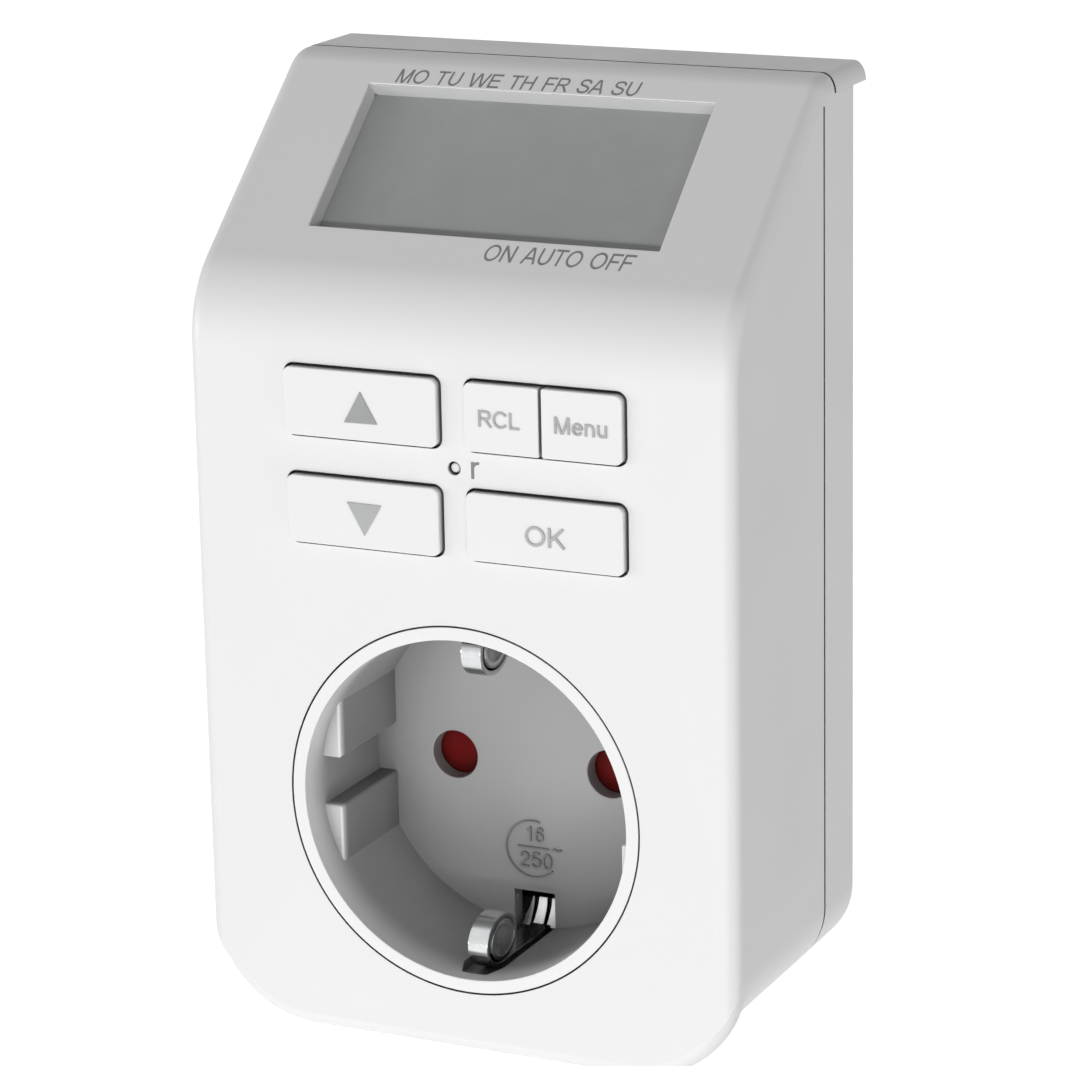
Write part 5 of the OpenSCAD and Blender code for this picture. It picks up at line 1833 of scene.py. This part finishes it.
@dataclass
class EarthBracket:
    """Earth contact: two sprung clips with a curl, their flared roots and the cross plate."""

    bench: Bench
    sheet: float = 0.6
    sheet_edge: float = 0.12
    arm_z: float = 19.65
    arm_w: float = 4.6
    curl_d: float = 6.8
    curl_z: float = 16.7
    curl_r: float = 2.8
    curl_w: float = 2.4
    curl_long: float = 1.34
    curl_turn: float = 600.0
    curl_steps: int = 120
    curl_lead: int = 24
    curl_tighten: float = 1.3
    core_r: float = 2.2
    core_half: float = 1.12
    root_z: float = 19.6
    root_in: float = 2.9
    root_at: float = 18.75
    root_deeper: float = 1.65
    root_sheet: float = 0.4
    root_edge: float = 0.06
    cross_at: float = 31.1
    cross_half: float = 1.7
    tab_end: float = 1.9
    tab_corner: float = 1.6
    tongues: tuple[tuple[Point, Point], ...] = (
        ((-2.35, -1.25), (-1.6, -1.35)), ((-1.0, 0.35), (-0.85, 0.25)), ((0.7, 2.1), (0.75, 1.3)))
    tabs: tuple[Point, ...] = ((-5.0, 16.0), (5.0, -16.0))

    def _tongue(self, side: int, low: Point, high: Point) -> Object:
        """Makes one tongue of the flared root, which rises from the cross plate to the wall.

        Args:
            side: 1 for the upper clip, -1 for the lower one.
            low: Left and right edge near the wall.
            high: Left and right edge at the far end.

        Returns:
            The tongue.
        """
        edge, thick = self.root_edge, self.root_sheet
        rings = []
        for part in (0.0, 0.25, 0.5, 0.75, 1.0):
            x0, x1 = (a + (b - a) * part for a, b in zip(low, high))
            z = side * (self.root_z - self.root_in * part)
            depth = self.root_at + self.root_deeper * math.sin(part * math.pi / 2)
            rings.append([Vector((x, at(d), z)) for x, d in (
                (x0 + edge, depth), (x1 - edge, depth), (x1, depth + edge), (x1, depth + thick),
                (x0, depth + thick), (x0, depth + edge))])
        return loft("tongue", rings)

    def clip(self, side: int) -> list[Object]:
        """Makes one clip with its curl and its flared root.

        Args:
            side: 1 for the upper clip, -1 for the lower one.

        Returns:
            The pieces.
        """
        path = [(20.5, self.arm_z), (15.5, self.arm_z), (12.5, self.arm_z - 0.1),
                (self.curl_d + self.curl_r / 2, self.curl_z + self.curl_r)]
        steps, lead = self.curl_steps, self.curl_lead
        for i in range(steps + 1):
            a = math.radians(self.curl_turn * i / steps)
            r = self.curl_r - self.curl_tighten * max(0, i - lead) / (steps - lead)
            path.append((self.curl_d - r * self.curl_long * math.sin(a), self.curl_z + r * math.cos(a)))
        path = [(d, side * z) for d, z in path]
        root = [(19.9, side * self.arm_z), (self.cross_at + self.sheet / 2, side * self.arm_z)]
        parts = [strip("clip", path, self.sheet, self.curl_w, self.sheet_edge),
                 strip("root", root, self.sheet, self.arm_w, self.sheet_edge)]
        return parts + [self._tongue(side, low, high) for low, high in self.tongues]

    def core(self, side: int) -> Object:
        """Makes the dark core that fills the curl of one clip, as painted shade inside the curl.

        Args:
            side: 1 for the upper clip, -1 for the lower one.

        Returns:
            The core.
        """
        oval = [(self.curl_d + self.core_r * self.curl_long * math.cos(math.radians(a)),
                 side * self.curl_z + self.core_r * math.sin(math.radians(a))) for a in range(0, 360, 9)]
        return loft("core", [[Vector((x, at(d), z)) for d, z in oval] for x in (-self.core_half, self.core_half)])

    def build(self) -> None:
        """Builds the bracket."""
        parts = self.clip(1) + self.clip(-1)
        # Dark cores in the curls: painted shade.
        cores = [self.core(1), self.core(-1)]
        self.bench.place(gather("curl_cores", *cores), "housing", "contact_metal", finish="core_metal")
        front, back, half = self.cross_at, self.cross_at + self.sheet, self.cross_half
        parts.append(prism("plate", soft_box(-half, half, -self.arm_z, self.arm_z, [0.2] * 4, 3), front, back))
        for x, z in self.tabs:
            x0, x1 = sorted((0.0, x))
            tab = soft_box(x0 - self.tab_end * (x < 0), x1 + self.tab_end * (x > 0), z - half, z + half,
                           [self.tab_corner] * 4, 6)
            parts.append(prism("tab", tab, front, back))
        self.bench.place(gather("earth_clips", *parts), "housing", "contact_metal", "earth_bracket")


@dataclass
class PlugPins:
    """The two solid plug pins. The shank is given as depth from the plug's end face and radius."""

    bench: Bench
    form: Form = FORM
    pin_r: float = 2.4
    pin_len: float = 19.0
    tip_run: float = 1.6
    tip_in: float = 1.0
    tip_r: float = 0.9
    shank: tuple[Point, ...] = ((-10, 1.5), (-9.8, 1.7), (-5, 1.7), (-5, 3.4), (-3, 3.4), (-3, 2.7), (0, 2.7))

    def build(self) -> None:
        """Builds both pins."""
        face = self.form.plug_end
        end = face + self.pin_len
        tip = [(end - self.tip_run + self.tip_run * math.sin(a), self.pin_r - self.tip_in * (1 - math.cos(a)))
               for a in (math.pi / 2 * i / 10 for i in range(11))]
        rings = [(face + d, r) for d, r in self.shank] + [(face, self.pin_r)] + tip + [(end, self.tip_r)]
        for name, side in (("line", -1), ("neutral", 1)):
            pin = turned(f"plug_pin_{name}", rings, (side * self.form.pin_pitch / 2, 0), 64)
            self.bench.place(pin, "housing", "pin_nickel", f"{name}_pin")


# ---------------------------------------------------------------- studio


@dataclass(frozen=True)
class Lamp:
    """A soft panel: its power, width, height, place and aim, in metres."""

    name: str
    watts: float
    width: float
    height: float
    place: tuple[float, float, float]
    aim: tuple[float, float, float] = (0.0, -0.04, 0.025)


@dataclass
class Studio:
    """Floor, world, lamps and camera."""

    floor_z: float = -0.0279
    floor_size: float = 8.0
    floor_pale: float = 0.8
    floor_rough: float = 0.9
    eye: tuple[float, float, float] = (0.192118, -0.435892, 0.148814)
    yaw: float = 0.445
    pitch: float = 0.268
    roll: float = -0.020
    lens: float = 142.516
    world: float = 0.249
    glow: float = 0.85
    lamps: tuple[Lamp, ...] = (
        Lamp("front_panel", 11.7, 1.6, 0.16, (0.1, -2.6, 0.06)),
        Lamp("key_panel", 8.2, 0.9, 0.9, (-1.1, -2.0, -1.7)),
        Lamp("low_front_panel", 14.9, 1.2, 0.9, (0.3, -2.2, -1.4)),
        Lamp("left_panel", 25.7, 1.6, 0.16, (-2.5, -1.6, 0.06)),
        Lamp("low_right_panel", 12.7, 0.9, 0.9, (2.0, -0.6, -1.4)),
        Lamp("corner_panel", 10.2, 1.4, 0.16, (1.5, -2.2, 0.06)),
        Lamp("rear_panel", 27.0, 0.8, 0.9, (-0.9, 2.4, -0.5)),
    )

    @staticmethod
    def seen(tree: NodeTree, strength: float) -> NodeSocket:
        """Gives a strength that only camera, glossy and transmission rays see.

        Args:
            tree: The node tree that gets the nodes.
            strength: The strength, where 1 is white.

        Returns:
            The socket with the strength, which is 0 for other rays.
        """
        path = put(tree, "ShaderNodeLightPath")
        socket = path.outputs["Is Camera Ray"]
        for name in ("Is Glossy Ray", "Is Transmission Ray"):
            both = put(tree, "ShaderNodeMath")
            both.operation = "MAXIMUM"
            tree.links.new(socket, both.inputs[0])
            wire(tree, (path, name, both, 1))
            socket = both.outputs[0]
        scale = put(tree, "ShaderNodeMath")
        scale.operation = "MULTIPLY"
        scale.inputs[1].default_value = strength
        tree.links.new(socket, scale.inputs[0])
        return scale.outputs[0]

    def floor(self) -> None:
        """Makes the pale floor, which looks white and keeps the object's shadow."""
        mesh = bpy.data.meshes.new("floor")
        s = self.floor_size / 2
        mesh.from_pydata([(x, y, self.floor_z) for x, y in ((-s, -s), (s, -s), (s, s), (-s, s))], [], [(0, 1, 2, 3)])
        floor = bpy.data.objects.new("studio_floor", mesh)
        bpy.context.scene.collection.objects.link(floor)
        material, shader = blank("floor_white")
        tree = material.node_tree
        shader.inputs["Base Color"].default_value = (*[self.floor_pale] * 3, 1)
        shader.inputs["Roughness"].default_value = self.floor_rough
        glow = put(tree, "ShaderNodeEmission")
        add = put(tree, "ShaderNodeAddShader")
        tree.links.new(self.seen(tree, self.glow), glow.inputs["Strength"])
        wire(tree, (shader, 0, add, 0), (glow, 0, add, 1), (add, 0, tree.nodes["Material Output"], "Surface"))
        mesh.materials.append(material)
        # Lamps below the floor light the object as well, so the floor doesn't block them.
        floor.visible_diffuse = False
        floor.visible_shadow = False
        floor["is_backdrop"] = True

    def sky(self) -> None:
        """Makes the even world light, seen as white."""
        world = bpy.data.worlds.new("studio")
        world.use_nodes = True
        tree = world.node_tree
        light = tree.nodes["Background"]
        light.inputs["Color"].default_value = (1, 1, 1, 1)
        light.inputs["Strength"].default_value = self.world
        white = put(tree, "ShaderNodeBackground", Color=(1, 1, 1, 1))
        mix = put(tree, "ShaderNodeMixShader")
        tree.links.new(self.seen(tree, 1.0), mix.inputs["Fac"])
        wire(tree, (light, 0, mix, 1), (white, 0, mix, 2), (mix, 0, tree.nodes["World Output"], "Surface"))
        bpy.context.scene.world = world

    def light(self) -> None:
        """Sets up the soft lamps."""
        for lamp in self.lamps:
            data = bpy.data.lights.new(lamp.name, "AREA")
            data.shape = "RECTANGLE"
            data.size = lamp.width
            data.size_y = lamp.height
            data.energy = lamp.watts
            thing = bpy.data.objects.new(lamp.name, data)
            thing.location = lamp.place
            thing.rotation_euler = (Vector(lamp.aim) - Vector(lamp.place)).to_track_quat("-Z", "Y").to_euler()
            bpy.context.scene.collection.objects.link(thing)

    def camera(self) -> None:
        """Sets up the camera."""
        out = Vector((math.sin(self.yaw) * math.cos(self.pitch), -math.cos(self.yaw) * math.cos(self.pitch),
                      math.sin(self.pitch)))
        right = (-out).cross(Vector((0, 0, 1))).normalized()
        up = right.cross(-out)
        c, s = math.cos(self.roll), math.sin(self.roll)
        side, head = c * right + s * up, c * up - s * right
        data = bpy.data.cameras.new("camera")
        data.lens = self.lens
        data.sensor_width = 36.0
        data.clip_start = 0.01
        data.clip_end = 50.0
        eye = bpy.data.objects.new("camera", data)
        eye.matrix_world = Matrix((
            (side.x, head.x, out.x, self.eye[0]), (side.y, head.y, out.y, self.eye[1]),
            (side.z, head.z, out.z, self.eye[2]), (0, 0, 0, 1)))
        bpy.context.scene.collection.objects.link(eye)
        bpy.context.scene.camera = eye

    def build(self) -> None:
        """Builds the studio."""
        self.camera()
        self.floor()
        self.sky()
        self.light()
        bpy.context.scene.view_settings.view_transform = "Standard"


# ---------------------------------------------------------------- the whole


def dress_nodes(bench: Bench) -> None:
    """Gives every node of the frame the finish of its material slot.

    Args:
        bench: The bench with the frame and the finishes.
    """
    slots = {entry["node"]: entry["material_slot"] for entry in bench.frame["record"]["subparts"]}
    for name, node in bench.frame["nodes"].items():
        finish = bench.finish(slots[name])
        if not node.material_slots:
            node.data.materials.append(finish)
        for place in node.material_slots:
            place.material = finish
        LOG.info("%s keeps its shape, finished in %s", name, slots[name])


def corners(bounds: Iterable[Iterable[float]]) -> list[list[float]]:
    """Returns a box as plain lists of numbers."""
    return [[float(value) for value in corner] for corner in bounds]


def main() -> None:
    """Builds the scene."""
    logging.basicConfig(level=logging.INFO, format="%(message)s")
    for thing in list(bpy.data.objects):
        bpy.data.objects.remove(thing)
    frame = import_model()
    before = corners(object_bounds())
    bench = Bench(frame)
    dress_nodes(bench)
    Studio().build()
    keypad = Keypad(bench)
    FrontShell(bench).build(keypad)
    RearShell(bench).build()
    keypad.build()
    Display(bench).build()
    SocketInsert(bench).build()
    EarthBracket(bench).build()
    PlugPins(bench).build()
    {"frame": before, "dressed": corners(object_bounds())}


if __name__ == "__main__":
    main()
